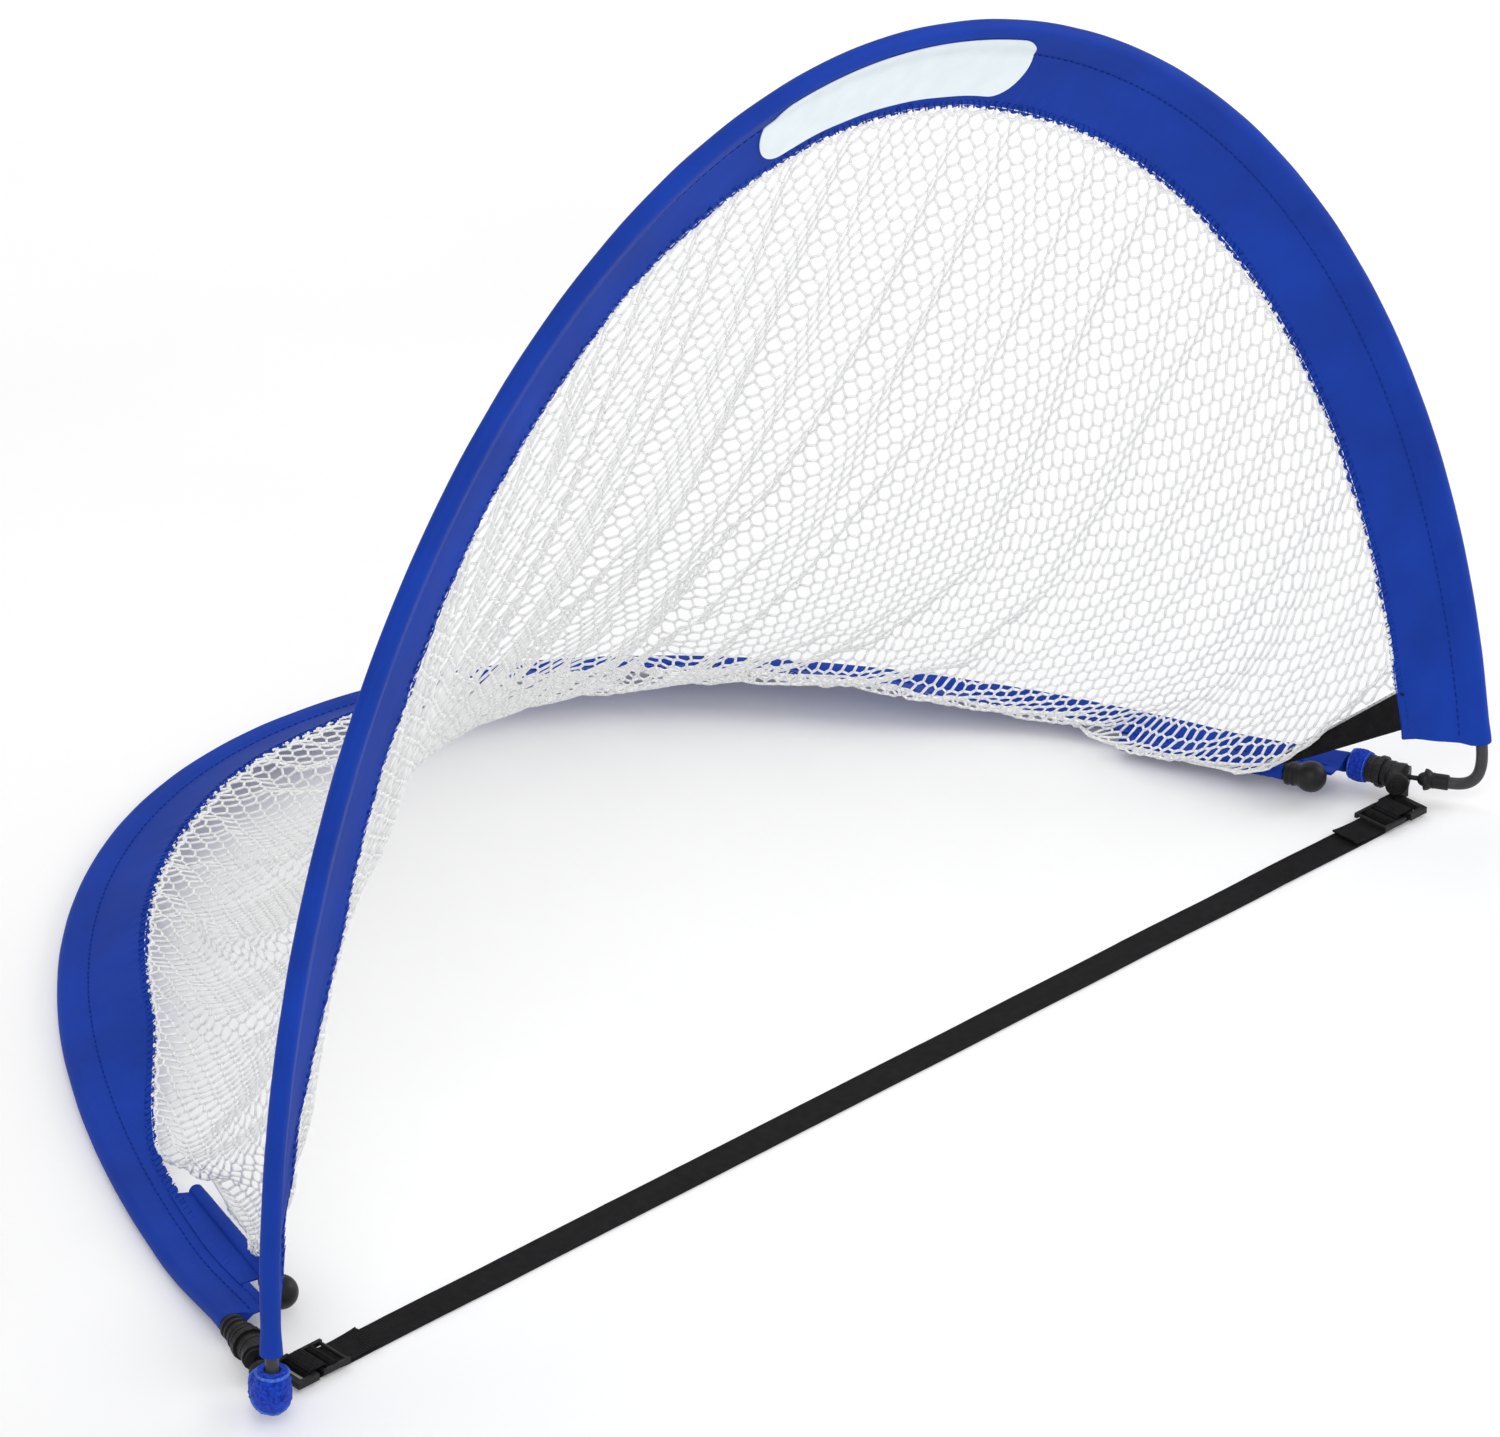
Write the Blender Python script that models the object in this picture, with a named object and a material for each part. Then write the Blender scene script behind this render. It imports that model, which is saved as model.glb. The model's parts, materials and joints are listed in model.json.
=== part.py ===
"""Pop up goal: a small folding football goal for a lawn.

Two springy poles make it: a front arch that stands up as the mouth, and a ground
arch that lies on the lawn behind it. Each runs in a fabric sleeve, the two meet at
a moulded connector in each corner, a net closes the space between the sleeves and a
webbing strap ties the corners together across the mouth.

Frame: metres, +Z up, +X along the mouth to the right, +Y to the back of the goal.
The origin is the middle of the ground strap's underside.
"""

import math

import bmesh
import bpy
import numpy as np
from mathutils import Matrix, Vector

SIDES = ((-1, "left"), (1, "right"))  # sign of x, word used in names
Z_AXIS = np.array([0.0, 0.0, 1.0])

# ---------------------------------------------------------------- main dimensions
MOUTH_WIDTH = 1.2192  # over the sleeves at the feet of the front arch
FRONT_HEIGHT = 0.787  # ground to sleeve edge, along the leaning plane
FRONT_POWER = 1.97  # superellipse power: 2 is an ellipse
LEAN = math.radians(5.7)  # the front arch leans back
LEG_Y = -0.040  # where the plane of the front arch meets the lawn
GROUND_DEPTH = 1.0957  # half axis of the ground arch over its sleeve, front to back
GROUND_CENTRE_Y = -0.420  # centre of that curve
GROUND_POWER = 2.034

POLE_R = 0.0045
CHANNEL_R = 0.0069  # inside of the sleeve's pole channel
SLEEVE_R = 0.0076  # outside of it
SLEEVE_ARC_POINTS = 11
FLAP_W = 0.0645  # from the pole's axis to the netted edge
FLAP_T = 0.0016

# Front arch; heights are along its leaning plane, runs along the sleeve from a foot
FRONT_TILT = math.radians(25.0)  # the net pulls the front flap back
LEFT_TWIST = math.radians(15.0)  # and twists it further at the foot of the left leg
LEFT_NARROW = 0.0195  # where the twisted flap is gathered narrower
TWIST_RUN = 0.30
FLAP_LIFT = 0.020  # the flap's lower corners are cut this much higher than the channel
LIFT_RUN = 0.22
SLEEVE_FOOT = 0.058  # height where the front sleeve ends
SPLICE = 0.130  # height where the pole meets the corner bend
SPLICE_GAP = 0.0004  # from the splice to each bar's end
BEND_START = 0.055  # height where the corner bend leaves the leg's line

# Corners
HINGE_Z = 0.018
BEND_TURN = math.radians(60.0)  # the corner bends turn in and back
BEND_REACH = 0.042  # leg to swivel ball, level
CONNECTOR_LEN = 0.0235  # swivel ball to the connector's elbow

# Ground arch; runs are along its pole from the elbow
GROUND_Z = 0.0086  # axis of the ground pole where the sleeve lies on the lawn
SETTLE_START, SETTLE_RUN = 0.024, 0.116  # where the pole comes down to the lawn
CUFF = 0.037  # start of the ground sleeve
GROUND_TILT = math.radians(25.0)  # the net pulls the ground flap up
GROUND_TILT_END = math.radians(8.0)
TILT_START, TILT_RUN = 0.20, 0.30
FLAP_END_W = 0.0310  # the ground flap is narrower beside the peg pockets
WIDEN_START, WIDEN_RUN = 0.24, 0.20

STRAP_T = 0.0010
BUCKLE_X = 0.528  # middle bar of the buckle
BUCKLE_Z = 0.0055
BAR_R = 0.0017

# ---------------------------------------------------------------- scene and materials
for old in list(bpy.data.objects):
    bpy.data.objects.remove(old, do_unlink=True)


def material(name, colour, roughness, metallic=0.0):
    mat = bpy.data.materials.new(name)
    mat.use_nodes = True
    mat.diffuse_color = (*colour, 1.0)
    shader = mat.node_tree.nodes["Principled BSDF"]
    shader.inputs["Base Color"].default_value = (*colour, 1.0)
    shader.inputs["Roughness"].default_value = roughness
    shader.inputs["Metallic"].default_value = metallic
    return mat


BLUE = material("sleeve_polyester", colour=(0.018, 0.060, 0.440), roughness=0.62)
BLUE_LOOP = material("loop_band", colour=(0.010, 0.030, 0.380), roughness=0.90)
WHITE_NET = material("net_cord", colour=(0.86, 0.87, 0.88), roughness=0.70)
WHITE_PRINT = material("badge_print", colour=(0.84, 0.90, 0.92), roughness=0.55)
BLACK_CLOTH = material("gusset_cloth", colour=(0.013, 0.012, 0.012), roughness=0.80)
BLACK_WEB = material("webbing", colour=(0.012, 0.011, 0.012), roughness=0.75)
BLACK_PLASTIC = material("moulded_plastic", colour=(0.018, 0.018, 0.020), roughness=0.42)
POLE_GREY = material("pole_grey", colour=(0.075, 0.078, 0.082), roughness=0.40)
STEEL = material("peg_steel", colour=(0.16, 0.16, 0.17), roughness=0.38, metallic=1.0)


# ---------------------------------------------------------------- vectors and paths
def unit(vector):
    vector = np.asarray(vector, float)
    return vector / np.linalg.norm(vector)


def ease(start, end, share):
    """From start to end as share goes from 0 to 1, level at both ends."""
    t = np.clip(share, 0.0, 1.0)
    return start + (end - start) * t * t * (3.0 - 2.0 * t)


def distances_along(path):
    steps = np.linalg.norm(np.diff(path, axis=0), axis=1)
    return np.concatenate([[0.0], np.cumsum(steps)])


def path_length(path):
    return float(distances_along(path)[-1])


def along_path(dense, distances):
    """Points of a dense path at given distances along it."""
    known = distances_along(dense)
    return np.stack([np.interp(distances, known, dense[:, k]) for k in range(3)], axis=1)


def stations(total, fine, fine_step, coarse_step):
    """Distances along a path: close together near both ends, further apart between."""
    fine_count = max(1, round(fine / fine_step))
    coarse_count = max(1, round((total - 2 * fine) / coarse_step))
    return np.concatenate(
        [
            np.linspace(0, fine, fine_count + 1)[:-1],
            np.linspace(fine, total - fine, coarse_count + 1)[:-1],
            np.linspace(total - fine, total, fine_count + 1),
        ]
    )


def tangents(points):
    along = np.gradient(np.asarray(points, float), axis=0)
    return along / np.linalg.norm(along, axis=1)[:, None]


def inward(points, plane_normal, middle):
    """Unit vectors in the path's plane, square to the path, on the side of middle."""
    across = np.cross(tangents(points), plane_normal)
    across /= np.linalg.norm(across, axis=1)[:, None]
    flip = np.sign(((middle - points) * across).sum(axis=1))
    return across * flip[:, None]


def carried_frames(points):
    """Two unit vectors across the path at each point, carried along it without twist."""
    along = tangents(points)
    across = np.cross(along[0], Z_AXIS)
    if np.linalg.norm(across) < 0.1:
        across = np.cross(along[0], [0.0, 1.0, 0.0])
    frames = []
    for tangent in along:
        across = unit(across - tangent * (across @ tangent))
        frames.append((across, np.cross(tangent, across)))
    return frames


def circle(centre, across, other, radius, count):
    angles = [2 * math.pi * k / count for k in range(count)]
    return [centre + radius * (math.cos(a) * across + math.sin(a) * other) for a in angles]


def arc(radius, start, end, count):
    """Profile points (distance along the axis, radius) of a sphere round the origin."""
    angles = np.linspace(start, end, count)
    return [(radius * math.cos(a), radius * math.sin(a)) for a in angles]


# ---------------------------------------------------------------- objects and solids
def empty(name, place, parent=None):
    obj = bpy.data.objects.new(name, None)
    obj.empty_display_size = 0.03
    bpy.context.scene.collection.objects.link(obj)
    obj.location = place
    obj.parent = parent
    return obj


def link_mesh(name, bm):
    bmesh.ops.recalc_face_normals(bm, faces=bm.faces)
    mesh = bpy.data.meshes.new(name)
    bm.to_mesh(mesh)
    bm.free()
    obj = bpy.data.objects.new(name, mesh)
    bpy.context.scene.collection.objects.link(obj)
    return obj


def finish(name, bm, mat, parent, smooth=True):
    """Makes the object: its mesh comes in world space and is moved to its parent's origin.

    Every parent stands unturned, with its location given in world space.
    """
    bmesh.ops.remove_doubles(bm, verts=bm.verts, dist=1e-6)
    obj = link_mesh(name, bm)
    obj.data.materials.append(mat)
    obj.data.transform(Matrix.Translation(-Vector(parent.location)))
    obj.parent = parent
    if smooth:
        obj.data.shade_smooth()
        obj.data.set_sharp_from_angle(angle=math.radians(35))
    return obj


def add_verts(bm, rings):
    return [[bm.verts.new(point) for point in ring] for ring in rings]


def skin(bm, rings):
    """Quads between each ring and the next."""
    for ring, following in zip(rings, rings[1:]):
        for k in range(len(ring)):
            j = (k + 1) % len(ring)
            bm.faces.new((ring[k], ring[j], following[j], following[k]))


def ring_solid(name, rings, mat, parent, closed=False, bores=None):
    """A solid skinned over rings of points; closed joins the last ring to the first.

    bores, if given, are matching inner rings that make an open-ended tube. They may
    have fewer points; one polygon at each end then takes up the rest of the rim.
    """
    bm = bmesh.new()
    outer = add_verts(bm, rings)
    skin(bm, outer + outer[:1] if closed else outer)
    if bores is not None:
        inner = add_verts(bm, bores)
        skin(bm, inner)
        for rim, bore in ((outer[0], inner[0]), (outer[-1], inner[-1])):
            last = len(bore) - 1
            for k in range(last):
                bm.faces.new((rim[k], rim[k + 1], bore[k + 1], bore[k]))
            bm.faces.new(rim[last:] + [rim[0], bore[0], bore[last]])
    elif not closed:
        bm.faces.new(list(reversed(outer[0])))
        bm.faces.new(outer[-1])
    return finish(name, bm, mat, parent)


def path_rings(points, radii, sides):
    return [
        circle(point, across, other, radius, sides)
        for point, radius, (across, other) in zip(points, radii, carried_frames(points))
    ]


def rod(name, points, radius, mat, parent):
    """A round bar along a path, with flat ends."""
    rings = path_rings(points, [radius] * len(points), 10)
    return ring_solid(name, rings, mat, parent)


def pipe(name, points, outer, inner, mat, parent, sides=12):
    """A tube along a path, with an outer radius for each point."""
    rings = path_rings(points, outer, sides)
    bores = path_rings(points, [inner] * len(points), sides)
    return ring_solid(name, rings, mat, parent, bores=bores)


def turned(name, profile, origin, axis, mat, parent, sides=16):
    """A turned solid.

    profile holds (distance along the axis, radius) and starts and ends on the axis.
    """
    axis = unit(axis)
    across = unit(np.cross(axis, Z_AXIS if abs(axis[2]) < 0.9 else [1.0, 0.0, 0.0]))
    other = np.cross(axis, across)
    bm = bmesh.new()
    rows = []
    for along, radius in profile:
        centre = origin + axis * along
        on_axis = radius < 1e-7
        ring = [centre] if on_axis else circle(centre, across, other, radius, sides)
        rows.append([bm.verts.new(point) for point in ring])
    for row, following in zip(rows, rows[1:]):
        for k in range(sides):
            j = (k + 1) % sides
            if len(row) == 1:
                bm.faces.new((row[0], following[j], following[k]))
            elif len(following) == 1:
                bm.faces.new((row[k], row[j], following[0]))
            else:
                bm.faces.new((row[k], row[j], following[j], following[k]))
    return finish(name, bm, mat, parent)


def bar(start, end, radius, sides=16):
    """A round bar as a bmesh for a Boolean."""
    start, end = np.asarray(start, float), np.asarray(end, float)
    length = float(np.linalg.norm(end - start))
    bm = bmesh.new()
    bmesh.ops.create_cone(
        bm, cap_ends=True, segments=sides, radius1=radius, radius2=radius, depth=length
    )
    turn = Vector((0, 0, 1)).rotation_difference(Vector(unit(end - start))).to_matrix()
    bmesh.ops.transform(bm, matrix=turn.to_4x4(), verts=bm.verts)
    bmesh.ops.translate(bm, vec=Vector((start + end) / 2), verts=bm.verts)
    return bm


def bar_along(origin, way, spec):
    """A bar on a line from origin; spec is (near distance, far distance, radius)."""
    near, far, radius = spec
    return bar(origin + way * near, origin + way * far, radius)


def block(side, x_span, y_span, z_span):
    """A box as a bmesh, given for the right side and mirrored in x for the left."""
    x_span = [side * x for x in x_span]
    low, high = np.sort([x_span, y_span, z_span], axis=1).T
    bm = bmesh.new()
    bmesh.ops.create_cube(bm, size=1.0)
    bmesh.ops.scale(bm, vec=Vector(high - low), verts=bm.verts)
    bmesh.ops.translate(bm, vec=Vector((low + high) / 2), verts=bm.verts)
    return bm


def helper(name, bm):
    obj = link_mesh(name, bm)
    obj.hide_render = True
    obj.hide_set(True)
    obj.display_type = "WIRE"
    return obj


def carved(name, base, add, cut, mat, parent):
    """The base solid with others joined to it and others cut from it."""
    obj = finish(name, base, mat, parent, smooth=False)
    steps = [("UNION", bm) for bm in add] + [("DIFFERENCE", bm) for bm in cut]
    for k, (operation, bm) in enumerate(steps):
        mod = obj.modifiers.new(f"{operation.lower()}_{k}", "BOOLEAN")
        mod.operation = operation
        mod.solver = "EXACT"
        mod.object = helper(f"{name}_tool_{k}", bm)
    return obj


# ---------------------------------------------------------------- the two arch curves
UP = np.array([0.0, math.sin(LEAN), math.cos(LEAN)])  # up the front arch's plane
BACK = np.array([0.0, math.cos(LEAN), -math.sin(LEAN)])  # square to it
ARCH_FOOT = np.array([0.0, LEG_Y, 0.0])
ARCH_HALF_W = MOUTH_WIDTH / 2 - SLEEVE_R
ARCH_H = FRONT_HEIGHT - SLEEVE_R


def superellipse_arch(half_width, height, power, low_share):
    """Across and rise, left to right, above low_share of the height."""
    start = math.asin(low_share ** (power / 2))
    t = np.linspace(math.pi - start, start, 3001)
    cosine, sine = np.cos(t), np.sin(t)
    across = half_width * np.sign(cosine) * np.abs(cosine) ** (2 / power)
    return across, height * np.abs(sine) ** (2 / power)


def front_curve(low):
    """The pole's axis over the mouth, left to right, above the height low in its plane."""
    across, height = superellipse_arch(ARCH_HALF_W, ARCH_H, FRONT_POWER, low / ARCH_H)
    points = np.outer(height, UP) + ARCH_FOOT
    points[:, 0] += across
    return points


def front_inward(points):
    return inward(points, BACK, ARCH_FOOT + 0.3 * UP)


legs = front_curve(BEND_START)
leg_down = {-1: unit(legs[0] - legs[40]), 1: unit(legs[-1] - legs[-41])}
right_foot = legs[-1]
HINGE_X = abs(right_foot[0]) - BEND_REACH * math.cos(BEND_TURN)
HINGE_Y = right_foot[1] + BEND_REACH * math.sin(BEND_TURN)


def to_back(side):
    """The level direction in which a corner bend runs from the leg to the connector."""
    return np.array([-side * math.cos(BEND_TURN), math.sin(BEND_TURN), 0.0])


def pivot(side):
    """Centre of the swivel ball."""
    return np.array([side * HINGE_X, HINGE_Y, HINGE_Z])


def elbow(side):
    return pivot(side) + to_back(side) * CONNECTOR_LEN


def ground_curve():
    """The ground pole's axis from the left connector's elbow to the right one's."""
    elbow_x, elbow_y, _ = elbow(1)
    depth = GROUND_DEPTH - SLEEVE_R
    low_share = (elbow_y - GROUND_CENTRE_Y) / depth
    half_width = elbow_x / (1 - low_share**GROUND_POWER) ** (1 / GROUND_POWER)
    x, y = superellipse_arch(half_width, depth, GROUND_POWER, low_share)
    points = np.stack([x, GROUND_CENTRE_Y + y, np.zeros_like(x)], axis=1)
    along = distances_along(points)
    near = np.minimum(along, along[-1] - along)
    points[:, 2] = ease(HINGE_Z, GROUND_Z, (near - SETTLE_START) / SETTLE_RUN)
    return points


ground = ground_curve()
GROUND_LEN = path_length(ground)


def ground_from(side):
    """The ground curve, starting at the given side's elbow."""
    return ground if side < 0 else ground[::-1]


def ground_inward(points):
    return inward(points, Z_AXIS, np.array([0.0, 0.05, 0.0]))


# ---------------------------------------------------------------- sleeves
front_dense = front_curve(SLEEVE_FOOT)
FRONT_LEN = path_length(front_dense)


def front_tilt(along):
    """The flap's lean off the arch's plane at distances along the front sleeve."""
    return ease(FRONT_TILT + LEFT_TWIST, FRONT_TILT, along / TWIST_RUN)


def front_width(along):
    return ease(FLAP_W - LEFT_NARROW, FLAP_W, along / TWIST_RUN)


def front_raise(along, points):
    """How far the flap's edge is moved up the leg near the feet."""
    left = ease(FLAP_LIFT, 0.0, along / LIFT_RUN)
    right = ease(FLAP_LIFT, 0.0, (FRONT_LEN - along) / LIFT_RUN)
    return tangents(points) * (left - right)[:, None]


def ground_near(along):
    """Distance along the ground pole to the nearer elbow."""
    return np.minimum(along, GROUND_LEN - along)


def ground_tilt(along):
    """The flap's lean up off the lawn at distances along the ground pole."""
    share = (ground_near(along) - TILT_START) / TILT_RUN
    return ease(GROUND_TILT_END, GROUND_TILT, share)


def ground_width(along):
    return ease(FLAP_END_W, FLAP_W, (ground_near(along) - WIDEN_START) / WIDEN_RUN)


def flap_axes(into, lift, tilt):
    """Unit vectors along the flap, away from the pole, and square to its face."""
    outward = np.cos(tilt) * into + np.sin(tilt) * lift
    return outward, -np.sin(tilt) * into + np.cos(tilt) * lift


def sleeve(name, points, into, lift, tilts, widths, parent, raised=0.0):
    """A fabric sleeve: a channel round the pole and a flap that runs in from it.

    raised moves the flap's edge, as a skewed cut does.
    """
    seam = math.asin(FLAP_T / 2 / SLEEVE_R)
    angles = np.linspace(seam, 2 * math.pi - seam, SLEEVE_ARC_POINTS)
    shifts = np.broadcast_to(raised, points.shape)
    rings, bores = [], []
    for point, inner, tilt, width, shift in zip(points, into, tilts, widths, shifts):
        flap, face = flap_axes(inner, lift, tilt)
        spokes = [math.cos(a) * flap + math.sin(a) * face for a in angles]
        edge = point + width * flap + shift
        ring = [point + SLEEVE_R * spoke for spoke in spokes]
        rings.append(ring + [edge - FLAP_T / 2 * face, edge + FLAP_T / 2 * face])
        bores.append([point + CHANNEL_R * spoke for spoke in spokes])
    return ring_solid(name, rings, BLUE, parent, bores=bores)


def build_front_sleeve():
    along = stations(FRONT_LEN, 0.120, 0.020, 0.052)
    points = along_path(front_dense, along)
    sleeve(
        "front_arch_sleeve",
        points,
        front_inward(points),
        BACK,
        front_tilt(along),
        front_width(along),
        front_arch,
        front_raise(along, points),
    )


def build_ground_sleeve():
    along = CUFF + stations(GROUND_LEN - 2 * CUFF, 0.120, 0.020, 0.050)
    points = along_path(ground, along)
    sleeve(
        "ground_arch_sleeve",
        points,
        ground_inward(points),
        Z_AXIS,
        ground_tilt(along),
        ground_width(along),
        ground_frame,
    )


# ---------------------------------------------------------------- poles
GROUND_POLE_INSET = 0.004  # elbow to the pole's end


def build_front_pole():
    dense = front_curve(SPLICE + SPLICE_GAP)
    along = stations(path_length(dense), 0.045, 0.015, 0.052)
    rod("front_arch_pole", along_path(dense, along), POLE_R, POLE_GREY, front_arch)


def build_ground_pole():
    length = GROUND_LEN - 2 * GROUND_POLE_INSET
    along = stations(length, 0.144, 0.016, 0.052) + GROUND_POLE_INSET
    rod("ground_arch_pole", along_path(ground, along), POLE_R, POLE_GREY, ground_frame)


# ---------------------------------------------------------------- corner bends
BEND_END = 0.0075  # bend's end to the centre of the swivel ball
BEND_LEVEL = 0.0125  # straight, level run before that end
LEG_HANDLE = 0.026  # Bezier handles of the curve between leg and level run
LEVEL_HANDLE = 0.020

BEND_FERRULE_FOOT = 0.100  # height of its lower end
BEND_FERRULE_LEN = 0.060
BEND_FERRULE_R = 0.0061
BEND_FERRULE_BORE = 0.0050

CUP_IN = 0.0058  # the socket's hollow
CUP_OUT = 0.0085
CUP_EDGE = math.radians(47)  # where the round shell meets the neck
# Neck of the socket, then its bore for the bend: (distance from the ball, radius)
SOCKET_NECK = [
    (0.0072, 0.0064), (0.019, 0.0062), (0.019, 0.0049), (0.0070, 0.0049), (0.0070, 0.0),
]

LEFT_BAND_RADII = [0.0100, 0.0120, 0.0130, 0.0134, 0.0132, 0.0124, 0.0104]
LEFT_BAND_BORE = 0.0062
LEFT_BAND_START = 0.006  # from the start of the bend's curve
LEFT_BAND_END = 0.002  # short of the curve's end
BEND_LEG_POINTS = 6
BEND_CURVE_STEPS = 12


def bend_path(side):
    """Down the leg from the splice, round the bend and level up to the swivel ball."""
    height = (legs - ARCH_FOOT) @ UP
    on_leg = (height < SPLICE - SPLICE_GAP) & (legs[:, 0] * side > 0)
    leg = legs[on_leg][np.argsort(-height[on_leg])]
    straight_leg = along_path(leg, np.linspace(0, path_length(leg), BEND_LEG_POINTS))
    way = to_back(side)
    end = pivot(side) - way * BEND_END
    curve_start = straight_leg[-1]
    curve_end = end - way * BEND_LEVEL
    leg_handle = curve_start + leg_down[side] * LEG_HANDLE
    level_handle = curve_end - way * LEVEL_HANDLE
    curve = []
    for k in range(1, BEND_CURVE_STEPS + 1):
        t = k / BEND_CURVE_STEPS
        curve.append(
            (1 - t) ** 3 * curve_start
            + 3 * (1 - t) ** 2 * t * leg_handle
            + 3 * (1 - t) * t**2 * level_handle
            + t**3 * curve_end
        )
    return np.array([*straight_leg, *curve, (curve_end + end) / 2, end])


def build_corner_bend(side, word):
    rod(f"corner_bend_{word}", bend_path(side), POLE_R, POLE_GREY, front_arch)

    # The ferrule over the splice is laid out on the left leg and mirrored to the right.
    left_leg = along_path(
        front_curve(BEND_FERRULE_FOOT), np.linspace(0.0, BEND_FERRULE_LEN, 7)
    )
    pipe(
        f"bend_ferrule_{word}",
        left_leg * [-side, 1, 1],
        [BEND_FERRULE_R] * len(left_leg),
        BEND_FERRULE_BORE,
        POLE_GREY,
        front_arch,
    )
    hollow = arc(CUP_IN, 0, math.pi / 2, 6)
    shell = arc(CUP_OUT, math.pi / 2, CUP_EDGE, 4)
    turned(
        f"bend_socket_{word}",
        hollow + shell + SOCKET_NECK,
        pivot(side),
        -to_back(side),
        BLACK_PLASTIC,
        front_arch,
    )


def build_left_tie_band():
    """A loop band, ready to tie the folded goal, wound round the left bend."""
    first = BEND_LEG_POINTS - 1
    curve = bend_path(-1)[first : first + BEND_CURVE_STEPS + 1]
    end = path_length(curve) - LEFT_BAND_END
    along = np.linspace(LEFT_BAND_START, end, len(LEFT_BAND_RADII))
    pipe(
        "tie_band_left",
        along_path(curve, along),
        LEFT_BAND_RADII,
        LEFT_BAND_BORE,
        BLUE_LOOP,
        front_arch,
        sides=14,
    )


# ---------------------------------------------------------------- badge
BADGE_LEN = 0.275
BADGE_X = 0.040
BADGE_HALF_W = 0.0225
BADGE_REACH = 0.0345  # pole's axis to the badge's centre line
BADGE_BACK, BADGE_FACE = 0.0022, 0.0030  # in front of the flap's middle plane
BADGE_STEPS = 8  # each way from the middle
BADGE_END_SHARE = 0.985  # stops short of the tip, where the width would be nothing
BADGE_FINE_STEPS = 4000  # steps of the sleeve's path used to place it


def build_badge():
    """A plain printed panel on the flap near the top of the arch, with round ends."""
    fine = along_path(front_dense, np.linspace(0, FRONT_LEN, BADGE_FINE_STEPS + 1))
    into = front_inward(fine)
    middle = int(np.argmin(np.abs(fine[:, 0] - BADGE_X)))
    half_steps = int(round(BADGE_LEN / 2 / (FRONT_LEN / BADGE_FINE_STEPS)))
    rings = []
    for k in range(-BADGE_STEPS, BADGE_STEPS + 1):
        share = k / BADGE_STEPS * BADGE_END_SHARE
        index = middle + int(round(share * half_steps))
        half_w = BADGE_HALF_W * (1 - abs(share) ** 5) ** 0.5
        near, far = BADGE_REACH - half_w, BADGE_REACH + half_w
        flap, face = flap_axes(into[index], BACK, FRONT_TILT)
        corners = (
            (near, BADGE_BACK), (far, BADGE_BACK), (far, BADGE_FACE), (near, BADGE_FACE),
        )
        rings.append([fine[index] + reach * flap - proud * face for reach, proud in corners])
    ring_solid("badge_panel", rings, WHITE_PRINT, front_arch)


# ---------------------------------------------------------------- ground ferrules
# (distance along the ground pole from the elbow, outer radius): ribbed, then plain
GROUND_FERRULE = [
    (0.0204, 0.0082), (0.0225, 0.0082), (0.0228, 0.0092), (0.0258, 0.0092),
    (0.0261, 0.0080), (0.0285, 0.0080), (0.0288, 0.0092), (0.0318, 0.0092),
    (0.0321, 0.0080), (0.0350, 0.0080), (0.0352, 0.0061), (0.050, 0.0061),
    (0.064, 0.0061),
]
GROUND_FERRULE_BORE = 0.0052
# The right loop band, in the same columns
RIGHT_BAND = [
    (0.0208, 0.0108), (0.0240, 0.0122), (0.0280, 0.0126), (0.0320, 0.0122), (0.0348, 0.0108),
]
RIGHT_BAND_BORE = 0.0098


def build_ground_ferrule(side, word):
    along, radii = zip(*GROUND_FERRULE)
    pipe(
        f"ground_ferrule_{word}",
        along_path(ground_from(side), along),
        radii,
        GROUND_FERRULE_BORE,
        BLACK_PLASTIC,
        ground_frame,
    )


def build_right_tie_band():
    """The right corner's loop band, wound round the ground ferrule."""
    along, radii = zip(*RIGHT_BAND)
    pipe(
        "tie_band_right",
        along_path(ground_from(1), along),
        radii,
        RIGHT_BAND_BORE,
        BLUE_LOOP,
        ground_frame,
        sides=14,
    )


# ---------------------------------------------------------------- corner connectors
# Round parts: (near distance, far distance, radius)
# from the swivel ball, towards the elbow:
SWIVEL_BARREL = (0.0115, CONNECTOR_LEN, 0.0088)
SWIVEL_COLLAR = (0.0145, 0.0195, 0.0102)
STUD_HOLE = (0.0080, 0.0205, 0.0026)
# from the elbow, along the ground pole:
POLE_BARREL = (-0.009, 0.0200, 0.0104)
POLE_COLLAR = (0.0075, 0.0115, 0.0124)
POLE_HOLE = (0.0020, 0.0300, 0.0050)
# from the elbow, along the hub:
HUB = (0.0, 0.0140, 0.0088)
HUB_HOLE = (0.0085, 0.0160, 0.0052)
HUB_IN, HUB_FORWARD = 0.64, 0.77  # the hub's level direction

# Eye for the strap's anchor loop, a flat frame; half sizes, and spans in z
EYE_X = 0.5535
EYE_HALF_X, EYE_HALF_Y, EYE_Z = 0.0090, 0.0165, (0.0030, 0.0080)
EYE_HOLE_HALF_X, EYE_HOLE_HALF_Y, EYE_HOLE_Z = 0.0045, 0.0130, (0.0010, 0.0100)
# Arm that runs out from the eye, and a post standing on its outer end; spans
ARM_X, ARM_Y, ARM_Z = (0.5600, 0.5715), (0.0100, 0.0162), (0.0032, 0.0079)
POST_X, POST_Z = (0.5668, 0.5715), (0.0032, 0.0150)

# (distance from the elbow along the hub, radius)
CAP_PROFILE = [
    (0.0092, 0.0), (0.0092, 0.0045), (0.0144, 0.0045), (0.0144, 0.0086),
    (0.0162, 0.0086), (0.0169, 0.0074), (0.0169, 0.0),
]
BALL_R = 0.0055
STUD_R = 0.0019
STUD_END = 0.0195  # from the ball's centre


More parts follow.
